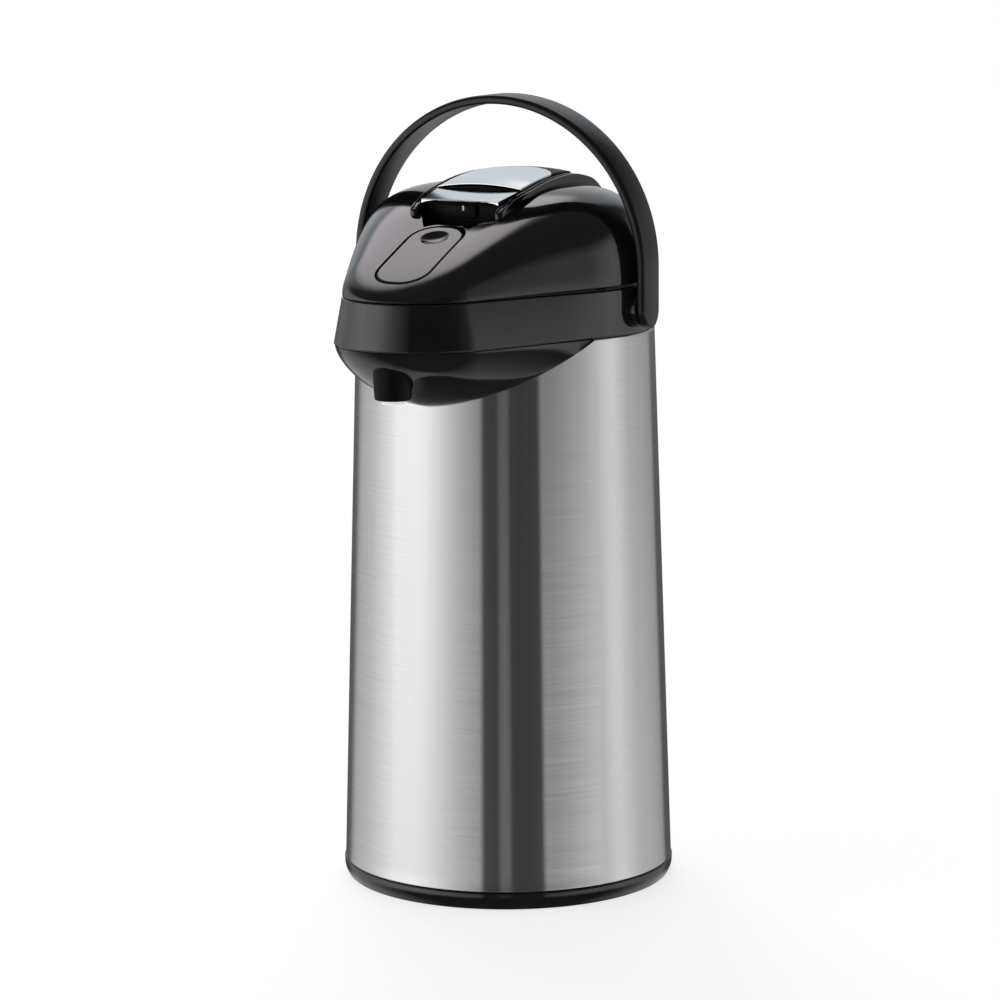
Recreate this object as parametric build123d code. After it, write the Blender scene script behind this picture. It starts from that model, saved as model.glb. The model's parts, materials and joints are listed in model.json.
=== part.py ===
from build123d import *
import os
from math import asin, atan2, cos, exp, hypot, log, pi, radians, sin

# Thermal coffee airpot. Millimetres, +Z up, the spout faces -Y.
# The origin is the centre of the underside, on the surface that the airpot stands on.

# Driving dimensions: body
BASE_RADIUS = 80.0          # steel shell at its foot
RIM_RADIUS = 71.9           # steel shell at its rim
SHELL_FOOT = 9.0            # top of the black base ring
SHELL_TOP = 269.5           # rim of the steel shell, underside of the head
SHELL_WALL = 1.0
MAT_RADIUS = 70.0
MAT_THICKNESS = 2.0

# Driving dimensions: vacuum liner
LINER_RADIUS = 66.0
LINER_WALL = 0.8
LINER_GAP = 3.0
LINER_BOTTOM = 22.0
LINER_SHOULDER = 234.0
LINER_NECK_START = 254.0
LINER_NECK_RADIUS = 36.8
LINER_TOP = 269.3

# Driving dimensions: head
BELT_RADIUS = 72.0          # plan radius of the head over the body
NOSE_DISTANCE = 78.5        # centre of the nose arc in front of the body axis
NOSE_RADIUS = 37.5          # nose arc at the lid seam
NOSE_FLARE = 4.1            # how much wider the nose arc is at the belt's lower edge
BELT_TOP = 291.5            # lid seam
HEAD_WALL = 2.5
DECK_TOP = 272.0
LID_BOTTOM = 291.8
LID_WALL = 2.4
LID_CROWN = 338.6           # ridge of the lid over the body
LID_SLOPE = 0.4355          # fall of the ridge towards the nose
LID_CENTRE_Y = -22.0        # centre that the lid's plan shrinks towards
SIDE_POWER = 5.0            # how square the lid's shoulders are
NOSE_POWER = 14.0           # the same at the nose
CROWN_POWER = 2.6           # how steeply the lid rises from its edge
CHIN_DEPTH = 32.5           # chin below the belt, at the front of the body
CHIN_HALF_ANGLE = 64.0      # where the chin fades out, degrees from the front
CHIN_FADE = 1.56            # how the chin gets shallower around the body
CHIN_ROOT = 73.1            # radius where the chin meets the body
CHIN_BURIED = 70.0          # radius of its back, inside the body before it is trimmed

# Driving dimensions: handle
HANDLE_HALF_WIDTH = 79.6
HANDLE_SPRING_Z = 299.5
HANDLE_TOP = 380.6
HANDLE_THICKNESS = 4.6
LEG_WIDTH = 17.0
TOP_WIDTH = 21.0
LEG_END_Z = 272.0
PIVOT_Z = 280.8
PIVOT_RADIUS = 4.0
RUNNING_CLEARANCE = 0.05

# Driving dimensions: lid mechanism
LID_HINGE = (73.5, 291.5)
LEVER_HINGE = (44.0, 322.5)
LATCH_HINGE = (-80.0, 303.0)
LEVER_HALF_WIDTH = 22.5
LEVER_REAR = 36.0
PLATE_SHOULDER = 3.5        # where the chrome plate's rear edge starts to curve in
PLATE_REAR = 18.0
PLATE_THICKNESS = 1.4
WELL_HALF_WIDTH = 23.3
WELL_FRONT = -46.5
WELL_REAR = 51.0
BEZEL_HALF_WIDTH = 27.3
BELLOWS_BOTTOM = 287.0
BELLOWS_TOP = 306.0
STEM_RADIUS = 6.0
STEM_TOP = 328.7
PUMP_RADIUS = 37.0
LID_SCREWS = [(-46.0, 32.0), (46.0, 32.0), (-40.0, -40.0), (40.0, -40.0)]

# Driving dimensions: spout and pipes
SPOUT_Y = -106.5
SPOUT_BOTTOM = 245.5
PIPE_Z = 278.0
PIPE_RADIUS = 4.5
PIPE_BORE = 3.2
DIP_Y = -20.0


def revolved(points):
    """Solid of revolution about Z of a closed outline of (radius, height) points."""
    outline = Polyline(*[(r, 0, z) for r, z in points], close=True)
    return revolve(make_face(outline.edges()), Axis.Z)


def ring(outer, inner, bottom, top):
    """Flat ring about Z, or a disc where the inner radius is 0."""
    plan = Circle(outer)
    if inner > 0:
        plan -= Circle(inner)
    return Pos(0, 0, bottom) * extrude(plan, top - bottom)


def disc(radius, bottom, top, x=0.0, y=0.0):
    """Upright cylinder."""
    return Pos(x, y, bottom) * extrude(Circle(radius), top - bottom)


def bar_x(radius, x0, x1, y, z):
    """Round bar along X."""
    return Pos(x0, y, z) * Rot(0, 90, 0) * extrude(Circle(radius), x1 - x0)


def block(x0, x1, y0, y1, z0, z1):
    """Box between two corners."""
    middle = Pos((x0 + x1) / 2, (y0 + y1) / 2, (z0 + z1) / 2)
    return middle * Box(x1 - x0, y1 - y0, z1 - z0)


def side_profile(points, half_width):
    """Closed (y, z) outline of straight lines, extruded to both sides of X = 0."""
    outline = Polyline(*[(0, y, z) for y, z in points], close=True)
    return extrude(make_face(outline.edges()), half_width, dir=(1, 0, 0), both=True)


def coil(radius, wire, pitch, height):
    """Round wire coil standing on its own Z axis."""
    path = Helix(pitch, height, radius)
    return sweep(Plane(path @ 0, z_dir=path % 0) * Circle(wire), path, is_frenet=True)


def shell_radius(z):
    """Outer radius of the steel shell at a height."""
    return BASE_RADIUS - (BASE_RADIUS - RIM_RADIUS) * (z - SHELL_FOOT) / (SHELL_TOP - SHELL_FOOT)


def egg_wire(body, nose, z):
    """Closed wire: the body circle and the nose circle, joined by their common tangents."""
    slant = asin((body - nose) / NOSE_DISTANCE)
    nx = cos(slant)
    ny = -sin(slant)
    right = (body * nx, body * ny, z)
    left = (-body * nx, body * ny, z)
    nose_right = (nose * nx, nose * ny - NOSE_DISTANCE, z)
    nose_left = (-nose * nx, nose * ny - NOSE_DISTANCE, z)
    rear = ThreePointArc(right, (0, body, z), left)
    left_side = Line(left, nose_left)
    front = ThreePointArc(nose_left, (0, -NOSE_DISTANCE - nose, z), nose_right)
    right_side = Line(nose_right, right)
    return Wire([rear, left_side, front, right_side])


def egg_reach(body, nose, centre_y, angle):
    """Distance from (0, centre_y) to the egg outline, in a direction given in radians from +X."""
    slant = asin((body - nose) / NOSE_DISTANCE)
    dx = cos(angle)
    dy = sin(angle)
    reach = [
        circle_reach(body, 0.0, centre_y, dx, dy),
        circle_reach(nose, -NOSE_DISTANCE, centre_y, dx, dy),
        (body + centre_y * sin(slant)) / max(abs(dx) * cos(slant) - dy * sin(slant), 1e-6),
    ]
    y_body = centre_y + dy * reach[0]
    y_nose = centre_y + dy * reach[1]
    if y_body >= -body * sin(slant):
        return reach[0]
    if y_nose <= -NOSE_DISTANCE - nose * sin(slant):
        return reach[1]
    return reach[2]


def circle_reach(radius, circle_y, centre_y, dx, dy):
    """Distance from (0, centre_y) along (dx, dy) to a circle centred at (0, circle_y)."""
    offset = centre_y - circle_y
    root = (offset * dy) ** 2 - offset ** 2 + radius ** 2
    if root < 0:
        return 0.0
    return -offset * dy + root ** 0.5


def crown_height(y):
    """Height of the lid's ridge line: flat over the body, sloping down to the nose."""
    ease = 12.0
    slope_start = -18.5
    run = ease * log(1.0 + exp((slope_start - y) / ease))
    return LID_CROWN - LID_SLOPE * run - 0.0012 * max(0.0, y - 20.0) ** 2


def lid_plan_reach(inset, angle, height):
    """Distance from the slice centre to the lid's outline at a height."""
    slice_centre_y = 20.0
    low = 0.0
    high = 160.0
    for _ in range(34):
        middle = (low + high) / 2
        x = middle * cos(angle)
        y = slice_centre_y + middle * sin(angle)
        if inside_lid(x, y, height, inset):
            low = middle
        else:
            high = middle
    return low


def inside_lid(x, y, height, inset):
    """True where the lid's outer form, shrunk by an inset, is above a height."""
    from_centre = hypot(x, y - LID_CENTRE_Y)
    angle = atan2(y - LID_CENTRE_Y, x)
    share = from_centre / egg_reach(BELT_RADIUS - 0.2 - inset, NOSE_RADIUS - 0.2 - inset, LID_CENTRE_Y, angle)
    rise = crown_height(y) - inset - BELT_TOP
    if share >= 1.0 or rise <= 0.0:
        return False
    level = max(0.0, height - BELT_TOP)
    power = SIDE_POWER + (NOSE_POWER - SIDE_POWER) * max(0.0, -sin(angle)) ** 2
    return level <= rise * (1.0 - share ** power) ** (1.0 / CROWN_POWER)


def lid_form(inset, bottom):
    """Solid of the lid's outer form, shrunk by an inset, from flat slices."""
    top = LID_CROWN - inset
    heights = [bottom] + [top - drop for drop in (42.5, 39.5, 35.5, 30.5, 25.0, 19.0, 13.0, 8.0, 4.2, 1.6)]
    wires = [lid_slice(inset, height) for height in heights]
    return Solid.make_loft(wires)


def lid_slice(inset, height):
    """Closed spline around the lid's form at a height."""
    count = 36
    slice_centre_y = 20.0
    points = []
    for step in range(count):
        angle = pi / 2 + 2 * pi * step / count
        reach = lid_plan_reach(inset, angle, height)
        points.append((reach * cos(angle), slice_centre_y + reach * sin(angle), height))
    return Wire([Spline(*points, periodic=True)])


def lid_height(x, y, inset=0.0):
    """Height of the lid's surface over a point."""
    low = BELT_TOP
    high = LID_CROWN
    for _ in range(30):
        middle = (low + high) / 2
        if inside_lid(x, y, middle, inset):
            low = middle
        else:
            high = middle
    return low


def chin_radius(angle_from_front, height):
    """Outer radius of the chin about the body axis, where it stands out of the body."""
    turn = abs(angle_from_front) / CHIN_HALF_ANGLE
    depth = CHIN_DEPTH * (1.0 - turn ** CHIN_FADE) + 0.001
    drop = min(1.0, (SHELL_TOP - height) / depth)
    outline = egg_reach(BELT_RADIUS, NOSE_RADIUS + NOSE_FLARE - 0.6, 0.0, radians(angle_from_front - 90.0))
    return CHIN_ROOT + (outline - CHIN_ROOT) * (1.0 - drop ** 1.15) ** (1.0 / 1.3)


def chin_slice(height, inset):
    """Closed outline of the chin at a height: its curved front and an arc inside the body."""
    level = height - inset
    depth_share = (SHELL_TOP - level) / CHIN_DEPTH
    half_angle = CHIN_HALF_ANGLE * (1.0 - depth_share) ** (1.0 / CHIN_FADE)
    outer = []
    steps = 12
    for step in range(steps + 1):
        angle = half_angle * (2.0 * step / steps - 1.0)
        radius = max(CHIN_BURIED + 1.0, chin_radius(angle, level) - 0.6 * inset)
        outer.append(polar_from_front(radius, angle, height))
    start = polar_from_front(CHIN_BURIED, -half_angle, height)
    end = polar_from_front(CHIN_BURIED, half_angle, height)
    front = Spline(*outer)
    back = ThreePointArc(end, (0, -CHIN_BURIED, height), start)
    return Wire([Line(start, outer[0]), front, Line(outer[-1], end), back])


def polar_from_front(radius, angle, height):
    """Point at a radius and an angle in degrees from the front."""
    return (radius * sin(radians(angle)), -radius * cos(radians(angle)), height)


def chin_form(inset, bottom):
    """Solid of the chin's form between a height and the belt, shrunk by an inset."""
    levels = 8
    wires = []
    for level in range(levels):
        wires.append(chin_slice(bottom + (SHELL_TOP - bottom) * level / (levels - 1), inset))
    return Solid.make_loft(wires)


def outer_shell():
    """Tapered stainless shell with its rim turned inwards."""
    inner_foot = BASE_RADIUS - SHELL_WALL
    inner_rim = RIM_RADIUS - SHELL_WALL
    flange = 66.0
    return revolved([
        (inner_foot, SHELL_FOOT), (BASE_RADIUS, SHELL_FOOT), (RIM_RADIUS, SHELL_TOP), (flange, SHELL_TOP),
        (flange, SHELL_TOP - SHELL_WALL), (inner_rim, SHELL_TOP - SHELL_WALL),
    ])


def base_cup():
    """Black base ring with its floor, a spigot inside the shell and three screw holes."""
    spigot = BASE_RADIUS - SHELL_WALL - 0.5
    cup = revolved([
        (0, MAT_THICKNESS), (0, 4.6), (75.5, 4.6), (75.5, 16.0), (spigot, 16.0), (spigot, SHELL_FOOT),
        (80.3, SHELL_FOOT), (80.5, 7.0), (80.2, 4.5), (79.5, 2.2), (78.6, 0.8), (77.6, 0.5), (71.0, 0.5),
        (MAT_RADIUS, MAT_THICKNESS),
    ])
    for x, y in screw_places(3, 36.0, 90.0):
        cup -= disc(2.0, MAT_THICKNESS, 4.6, x, y)
        cup -= disc(3.6, MAT_THICKNESS, 3.3, x, y)
    return cup


def screw_places(count, radius, first_angle):
    """Places of screws spaced evenly on a circle."""
    places = []
    for index in range(count):
        angle = radians(first_angle + 360.0 * index / count)
        places.append((radius * cos(angle), radius * sin(angle)))
    return places


def foot_mat():
    """Rubber non-slip mat that the airpot stands on."""
    mat = disc(MAT_RADIUS, 0.0, MAT_THICKNESS)
    for radius in (62.0, 54.0):
        mat -= ring(radius + 0.8, radius - 0.8, 0.0, 0.6)
    return mat


def base_screws():
    """Three countersunk screws from the base cup into the liner cradle."""
    screws = []
    for x, y in screw_places(3, 36.0, 90.0):
        screws.append(disc(3.6, MAT_THICKNESS, 3.3, x, y) + disc(2.0, 3.3, 12.0, x, y))
    return Compound(children=screws)


def liner_cradle():
    """Plastic cradle under the vacuum liner, with ribs and screw sockets."""
    cradle = ring(64.0, 0.0, 4.6, 7.0) + ring(64.0, 61.0, 7.0, 25.5)
    cradle += ring(42.0, 30.0, 7.0, 14.0)
    for step in range(6):
        rib = block(40.0, 62.5, -1.2, 1.2, 6.0, 13.0)
        cradle += Rot(0, 0, 60.0 * step) * rib
    for x, y in screw_places(3, 36.0, 90.0):
        cradle -= disc(2.0, 4.6, 12.0, x, y)
    return cradle


def liner_cushion():
    """Rubber ring that carries the liner's bottom."""
    return ring(40.0, 32.0, 14.0, LINER_BOTTOM)


def vessel(radius, neck, bottom, shoulder, top):
    """Bottle-shaped volume with a rounded foot and a sloping shoulder."""
    foot = 14.0
    return revolved([
        (0, bottom), (radius - foot, bottom), (radius - 4.0, bottom + 4.0), (radius, bottom + foot),
        (radius, shoulder), (radius - 3.0, shoulder + 6.0), (neck + 3.0, LINER_NECK_START - 3.0),
        (neck, LINER_NECK_START), (neck, top), (0, top),
    ])


def liner_outer():
    """Outer wall of the vacuum liner."""
    wall = LINER_WALL
    body = vessel(LINER_RADIUS, LINER_NECK_RADIUS, LINER_BOTTOM, LINER_SHOULDER, LINER_TOP - 0.8)
    radius = LINER_RADIUS - wall
    neck = LINER_NECK_RADIUS - wall
    hollow = vessel(radius, neck, LINER_BOTTOM + wall, LINER_SHOULDER - wall / 2, LINER_TOP)
    return body - hollow


def liner_inner():
    """Inner wall of the vacuum liner, with the lip that closes the vacuum space."""
    wall = LINER_WALL
    radius = LINER_RADIUS - LINER_GAP
    neck = LINER_NECK_RADIUS - 2.0
    bottom = LINER_BOTTOM + LINER_GAP
    shoulder = LINER_SHOULDER - 3.0
    body = vessel(radius, neck, bottom, shoulder, LINER_TOP)
    hollow = vessel(radius - wall, neck - wall, bottom + wall, shoulder - wall / 2, LINER_TOP + 1.0)
    lip = ring(LINER_NECK_RADIUS, neck - 0.4, LINER_TOP - 0.8, LINER_TOP)
    return body - hollow + lip


def neck_collar():
    """Plastic collar between the shell's rim and the liner's neck."""
    top = SHELL_TOP - SHELL_WALL
    collar = revolved([
        (LINER_NECK_RADIUS, 257.0), (LINER_NECK_RADIUS, top), (70.6, top), (70.6, 258.0), (68.0, 258.0),
        (68.0, 265.0), (41.0, 265.0), (41.0, 257.0),
    ])
    for x, y in screw_places(4, 52.0, 45.0):
        collar -= disc(1.7, 265.0, top, x, y)
    return collar


def collar_screws():
    """Four screws that hold the head on the collar."""
    screws = []
    for x, y in screw_places(4, 52.0, 45.0):
        screws.append(disc(3.2, DECK_TOP, DECK_TOP + 2.2, x, y) + disc(1.7, 260.0, DECK_TOP, x, y))
    return Compound(children=screws)


def head_housing():
    """Black head: belt wall, deck, pivot bosses and rear hinge knuckles."""
    outer = Solid.make_loft(
        [
            egg_wire(BELT_RADIUS, NOSE_RADIUS + NOSE_FLARE, SHELL_TOP),
            egg_wire(BELT_RADIUS, NOSE_RADIUS, BELT_TOP),
        ],
        ruled=True,
    )
    inner = Solid.make_loft(
        [
            egg_wire(BELT_RADIUS - HEAD_WALL, NOSE_RADIUS + NOSE_FLARE - HEAD_WALL, DECK_TOP),
            egg_wire(BELT_RADIUS - HEAD_WALL, NOSE_RADIUS - HEAD_WALL, BELT_TOP + 1.0),
        ],
        ruled=True,
    )
    housing = outer - inner
    housing -= disc(LINER_NECK_RADIUS + 1.0, SHELL_TOP, DECK_TOP)
    housing -= disc(9.3, SHELL_TOP, DECK_TOP, 0.0, SPOUT_Y)
    for x, y in screw_places(4, 52.0, 45.0):
        housing -= disc(1.7, SHELL_TOP, DECK_TOP, x, y)
    hinge_y, hinge_z = LID_HINGE
    for side in (-1, 1):
        boss_inner = side * (BELT_RADIUS - HEAD_WALL - 3.0)
        boss_outer = side * (HANDLE_HALF_WIDTH - HANDLE_THICKNESS - 0.4)
        pin_end = side * (BELT_RADIUS - HEAD_WALL - 4.0)
        housing += bar_x(8.5, min(boss_inner, boss_outer), max(boss_inner, boss_outer), 0.0, PIVOT_Z)
        housing -= bar_x(PIVOT_RADIUS, min(pin_end, boss_outer), max(pin_end, boss_outer), 0.0, PIVOT_Z)
    housing -= bar_x(5.0, -12.0, 12.0, hinge_y, hinge_z)
    for side in (-1, 1):
        ends = sorted((12.3 * side, 21.0 * side))
        knuckle = bar_x(4.3, ends[0], ends[1], hinge_y, hinge_z)
        knuckle += block(ends[0], ends[1], 69.8, 75.5, 282.0, hinge_z - 1.0) - disc(69.6, 280.0, 295.0)
        housing += knuckle - bar_x(1.5, ends[0], ends[1], hinge_y, hinge_z)
    return housing


def chin_cover():
    """Chin shell under the nose, open above, with the spout's hole."""
    outer = chin_form(0.0, SHELL_TOP - CHIN_DEPTH + 0.6)
    inner = chin_form(HEAD_WALL, SHELL_TOP - CHIN_DEPTH + 3.2)
    body = revolved([
        (0, 225.0), (shell_radius(225.0) + 0.15, 225.0), (shell_radius(SHELL_TOP) + 0.15, SHELL_TOP),
        (0, SHELL_TOP),
    ])
    chin = outer - inner - body
    chin -= disc(9.3, 240.0, SHELL_TOP, 0.0, SPOUT_Y)
    return largest(chin)


def largest(shape):
    """Largest solid of a shape."""
    return sorted(shape.solids(), key=lambda solid: solid.volume)[-1]


def spout_nozzle():
    """Black nozzle with its bore and a seat for the tip."""
    nozzle = revolved([
        (0, SPOUT_BOTTOM), (8.4, SPOUT_BOTTOM), (8.9, SPOUT_BOTTOM + 1.0), (9.25, 258.0), (9.25, DECK_TOP),
        (0, DECK_TOP),
    ])
    nozzle -= disc(PIPE_RADIUS, 262.0, DECK_TOP)
    nozzle -= disc(PIPE_BORE, 252.0, 262.0)
    nozzle -= disc(6.2, SPOUT_BOTTOM, 252.0)
    return Pos(0, SPOUT_Y, 0) * nozzle


def spout_tip():
    """White anti-drip insert that shows below the nozzle."""
    tip = revolved([
        (0, 243.4), (4.6, 243.4), (5.3, 244.2), (5.5, SPOUT_BOTTOM), (6.2, SPOUT_BOTTOM + 0.6), (6.2, 252.0),
        (0, 252.0),
    ])
    return Pos(0, SPOUT_Y, 0) * (tip - disc(PIPE_BORE, 240.0, 252.0))


def delivery_pipe():
    """Pipe from the tube head over the deck and down into the spout."""
    path = FilletPolyline(
        (0, DIP_Y, 266.0), (0, DIP_Y, PIPE_Z), (0, SPOUT_Y, PIPE_Z), (0, SPOUT_Y, 262.0), radius=6.0
    )
    start = Plane(path @ 0, z_dir=path % 0)
    return sweep(start * Circle(PIPE_RADIUS), path) - sweep(start * Circle(PIPE_BORE), path)


def tube_head():
    """Moulded ring on the liner's neck that holds the pipes and carries the pump's gasket."""
    open_radius = 30.5
    head = ring(LINER_NECK_RADIUS, open_radius, LINER_TOP, 271.2)
    head += ring(33.6, open_radius, 262.0, LINER_TOP)
    head += ring(34.0, open_radius, 271.2, 283.0)
    head += block(-7.0, 7.0, -32.0, DIP_Y - 0.5, 262.0, 271.2)
    head += disc(7.0, 258.0, 271.2, 0.0, DIP_Y)
    head -= disc(PIPE_RADIUS, 258.0, 272.0, 0.0, DIP_Y)
    head -= block(-PIPE_RADIUS, PIPE_RADIUS, -36.0, -28.0, 271.2, PIPE_Z + PIPE_RADIUS + 0.2)
    return head


def dip_tube():
    """Tube from the tube head to the bottom of the liner."""
    tube = ring(4.0, 3.0, 30.0, 266.0)
    foot_notch = block(-5.0, 5.0, -1.2, 1.2, 30.0, 33.0)
    return Pos(0, DIP_Y, 0) * (tube - foot_notch)


def tube_sleeve():
    """Silicone sleeve that holds the dip tube in the tube head."""
    return Pos(0, DIP_Y, 0) * ring(PIPE_RADIUS, 4.0, 258.0, 266.0)


def latch_catch():
    """Metal catch plate in the nose, behind the latch's tooth."""
    upright = block(-9.0, 9.0, -100.8, -99.2, DECK_TOP, 290.0)
    upright -= block(-5.6, 5.6, -102.0, -99.0, DECK_TOP, 283.2)
    return upright + block(-9.0, 9.0, -102.2, -100.8, 288.2, 290.0)


def handle_pins():
    """Two steel pivot pins pressed into the head's bosses."""
    pins = []
    for side in (-1, 1):
        ends = sorted((side * (BELT_RADIUS - HEAD_WALL - 4.0), side * (HANDLE_HALF_WIDTH - 1.4)))
        pins.append(bar_x(PIVOT_RADIUS, ends[0], ends[1], 0.0, PIVOT_Z))
    return Compound(children=pins)


def lid_hinge_pin():
    """Rear hinge pin of the lid."""
    return bar_x(1.5, -20.5, 20.5, *LID_HINGE)


def handle():
    """Bail handle: an arch with flat straight legs, wider at the top, blind bores for the pins."""
    rise = HANDLE_TOP - HANDLE_SPRING_Z
    arch = arch_form(HANDLE_HALF_WIDTH, rise)
    arch -= arch_form(HANDLE_HALF_WIDTH - HANDLE_THICKNESS, rise - HANDLE_THICKNESS)
    end_radius = LEG_WIDTH / 2
    side = side_profile(
        [
            (-end_radius, LEG_END_Z + end_radius), (end_radius, LEG_END_Z + end_radius),
            (end_radius + 0.3, HANDLE_SPRING_Z), (TOP_WIDTH / 2, HANDLE_TOP + 1.0),
            (-TOP_WIDTH / 2, HANDLE_TOP + 1.0), (-end_radius - 0.3, HANDLE_SPRING_Z),
        ],
        100.0,
    )
    side += bar_x(end_radius, -100.0, 100.0, 0.0, LEG_END_Z + end_radius)
    bail = arch & side
    for sign in (-1, 1):
        inner_end = HANDLE_HALF_WIDTH - HANDLE_THICKNESS - 1.0
        ends = sorted((sign * inner_end, sign * (HANDLE_HALF_WIDTH - 1.1)))
        bail -= bar_x(PIVOT_RADIUS + RUNNING_CLEARANCE, ends[0], ends[1], 0.0, PIVOT_Z)
    return bail


def arch_form(half_width, rise):
    """Half ellipse over a rectangle, extruded along Y."""
    depth = 40.0
    curve = Ellipse(half_width, rise) & Pos(0, rise / 2) * Rectangle(2 * half_width, rise)
    leg = HANDLE_SPRING_Z - LEG_END_Z + 5.0
    outline = curve + Pos(0, -leg / 2) * Rectangle(2 * half_width, leg)
    return extrude(Plane.XZ.offset(-depth / 2) * Pos(0, HANDLE_SPRING_Z) * outline, depth)


def tongue_prism(grow, down, up):
    """Rounded rectangle, square to the hood's slope, for the tongue and for its slot."""
    centre_y = -81.0
    centre_z = lid_height(0.0, centre_y)
    slope = 20.8
    plan = RectangleRounded(27.5 + 2 * grow, 54.0 + 2 * grow, 12.0 + grow)
    return Pos(0, centre_y, centre_z) * Rot(slope, 0, 0) * Pos(0, 0, -down) * extrude(plan, down + up)


def well_cut():
    """Space through the lid for the lever, and the finger hollow in front of it."""
    well = block(-WELL_HALF_WIDTH, WELL_HALF_WIDTH, WELL_FRONT, 37.0, 300.0, 345.0)
    floor = 318.5
    hollow_plan = Polyline(
        (-12.0, -55.3, floor), (12.0, -55.3, floor), (17.6, WELL_FRONT, floor), (-17.6, WELL_FRONT, floor),
        close=True,
    )
    return well + extrude(make_face(hollow_plan.edges()), 20.0, dir=(0, 0, 1))


def lid_shell(form, core):
    """Domed black lid with the lever's well, the tongue's slot, screw bosses and the hinge knuckle."""
    hinge_y, hinge_z = LID_HINGE
    shell = form - core
    for x, y in LID_SCREWS:
        post = disc(3.6, 294.2, 336.0, x, y) & core
        shell += largest(post) - disc(1.6, 294.0, 301.0, x, y)
    shell -= tongue_prism(0.8, 7.0, 20.0)
    for side in (-1, 1):
        ends = sorted((15.4 * side, 18.6 * side))
        latch_y, latch_z = LATCH_HINGE
        lug = block(ends[0], ends[1], latch_y - 3.5, latch_y + 3.5, latch_z - 3.0, 316.0)
        shell += largest(lug & core) - bar_x(1.5, ends[0], ends[1], latch_y, latch_z)
    shell -= well_cut()
    shell -= bar_x(5.0, -21.5, -12.0, hinge_y, hinge_z)
    shell -= bar_x(5.0, 12.0, 21.5, hinge_y, hinge_z)
    knuckle = bar_x(4.3, -11.7, 11.7, hinge_y, hinge_z) - disc(69.3, 280.0, 300.0)
    shell += knuckle + block(-11.7, 11.7, 69.6, 73.5, LID_BOTTOM, 296.0)
    shell -= bar_x(1.55, -11.7, 11.7, hinge_y, hinge_z)
    return largest(shell)


def lid_base():
    """Flat plate that closes the lid from below, with holes for the pump and the latch."""
    clear = LID_WALL + 1.0
    plate = Solid.make_loft(
        [
            egg_wire(BELT_RADIUS - clear, NOSE_RADIUS - clear, LID_BOTTOM),
            egg_wire(BELT_RADIUS - clear, NOSE_RADIUS - clear, 293.8),
        ],
        ruled=True,
    )
    plate -= disc(PUMP_RADIUS, LID_BOTTOM, 294.0)
    plate -= block(-10.0, 10.0, -110.5, -100.5, LID_BOTTOM, 294.0)
    for x, y in LID_SCREWS:
        plate -= disc(1.6, LID_BOTTOM, 294.0, x, y)
    return plate


def lid_screws():
    """Four screws from the lid base into the lid's bosses."""
    screws = []
    for x, y in LID_SCREWS:
        screws.append(disc(3.0, LID_BOTTOM - 1.6, LID_BOTTOM, x, y) + disc(1.6, LID_BOTTOM, 300.0, x, y))
    return Compound(children=screws)


def pump_housing():
    """Cup under the bellows, with its flange on the lid base and air holes in its floor."""
    cup = ring(PUMP_RADIUS, PUMP_RADIUS - 2.0, 285.2, 296.0) + ring(PUMP_RADIUS, 0.0, 285.2, BELLOWS_BOTTOM)
    cup += ring(41.0, PUMP_RADIUS - 2.0, 293.8, 296.0)
    for x, y in screw_places(6, 17.0, 0.0):
        cup -= disc(2.5, 285.0, BELLOWS_BOTTOM, x, y)
    return cup


def lid_gasket():
    """Silicone ring that seals the pump on the tube head."""
    return revolved([
        (30.5, 283.0), (34.5, 283.0), (35.0, 284.1), (34.5, 285.2), (30.5, 285.2), (30.0, 284.1),
    ])


def air_valve():
    """Silicone flap that lets air into the pump."""
    return ring(12.0, 3.0, 284.2, 285.2) + ring(3.0, 0.0, 283.6, 285.2)


def bellows():
    """Rubber bellows with four folds."""
    folds = 4
    wall = 1.0
    wide = 29.0
    narrow = 24.0
    bottom = BELLOWS_BOTTOM
    step = (BELLOWS_TOP - bottom - 3.0) / (2 * folds)
    outside = [(wide, bottom), (wide, bottom + 1.5)]
    for index in range(2 * folds):
        radius = narrow if index % 2 == 0 else wide
        outside.append((radius, bottom + 1.5 + step * (index + 1)))
    outside.append((wide, BELLOWS_TOP))
    inside = [(radius - wall * 1.6, height) for radius, height in reversed(outside)]
    return revolved(outside + inside)


def bellows_spring():
    """Return spring inside the bellows."""
    wire = 0.9
    height = BELLOWS_TOP - BELLOWS_BOTTOM - 2 * wire - 0.4
    return Pos(0, 0, BELLOWS_BOTTOM + wire + 0.2) * coil(18.0, wire, 4.0, height)


def pump_plunger():
    """Presser over the bellows, with the stem that the lever pushes."""
    plunger = ring(30.0, 0.0, BELLOWS_TOP, BELLOWS_TOP + 2.5)
    plunger += disc(STEM_RADIUS, BELLOWS_TOP + 2.5, STEM_TOP)
    for step in range(4):
        rib = block(4.0, 24.0, -1.0, 1.0, BELLOWS_TOP + 2.5, BELLOWS_TOP + 4.5)
        plunger += Rot(0, 0, 45.0 + 90.0 * step) * rib
    return plunger


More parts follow.
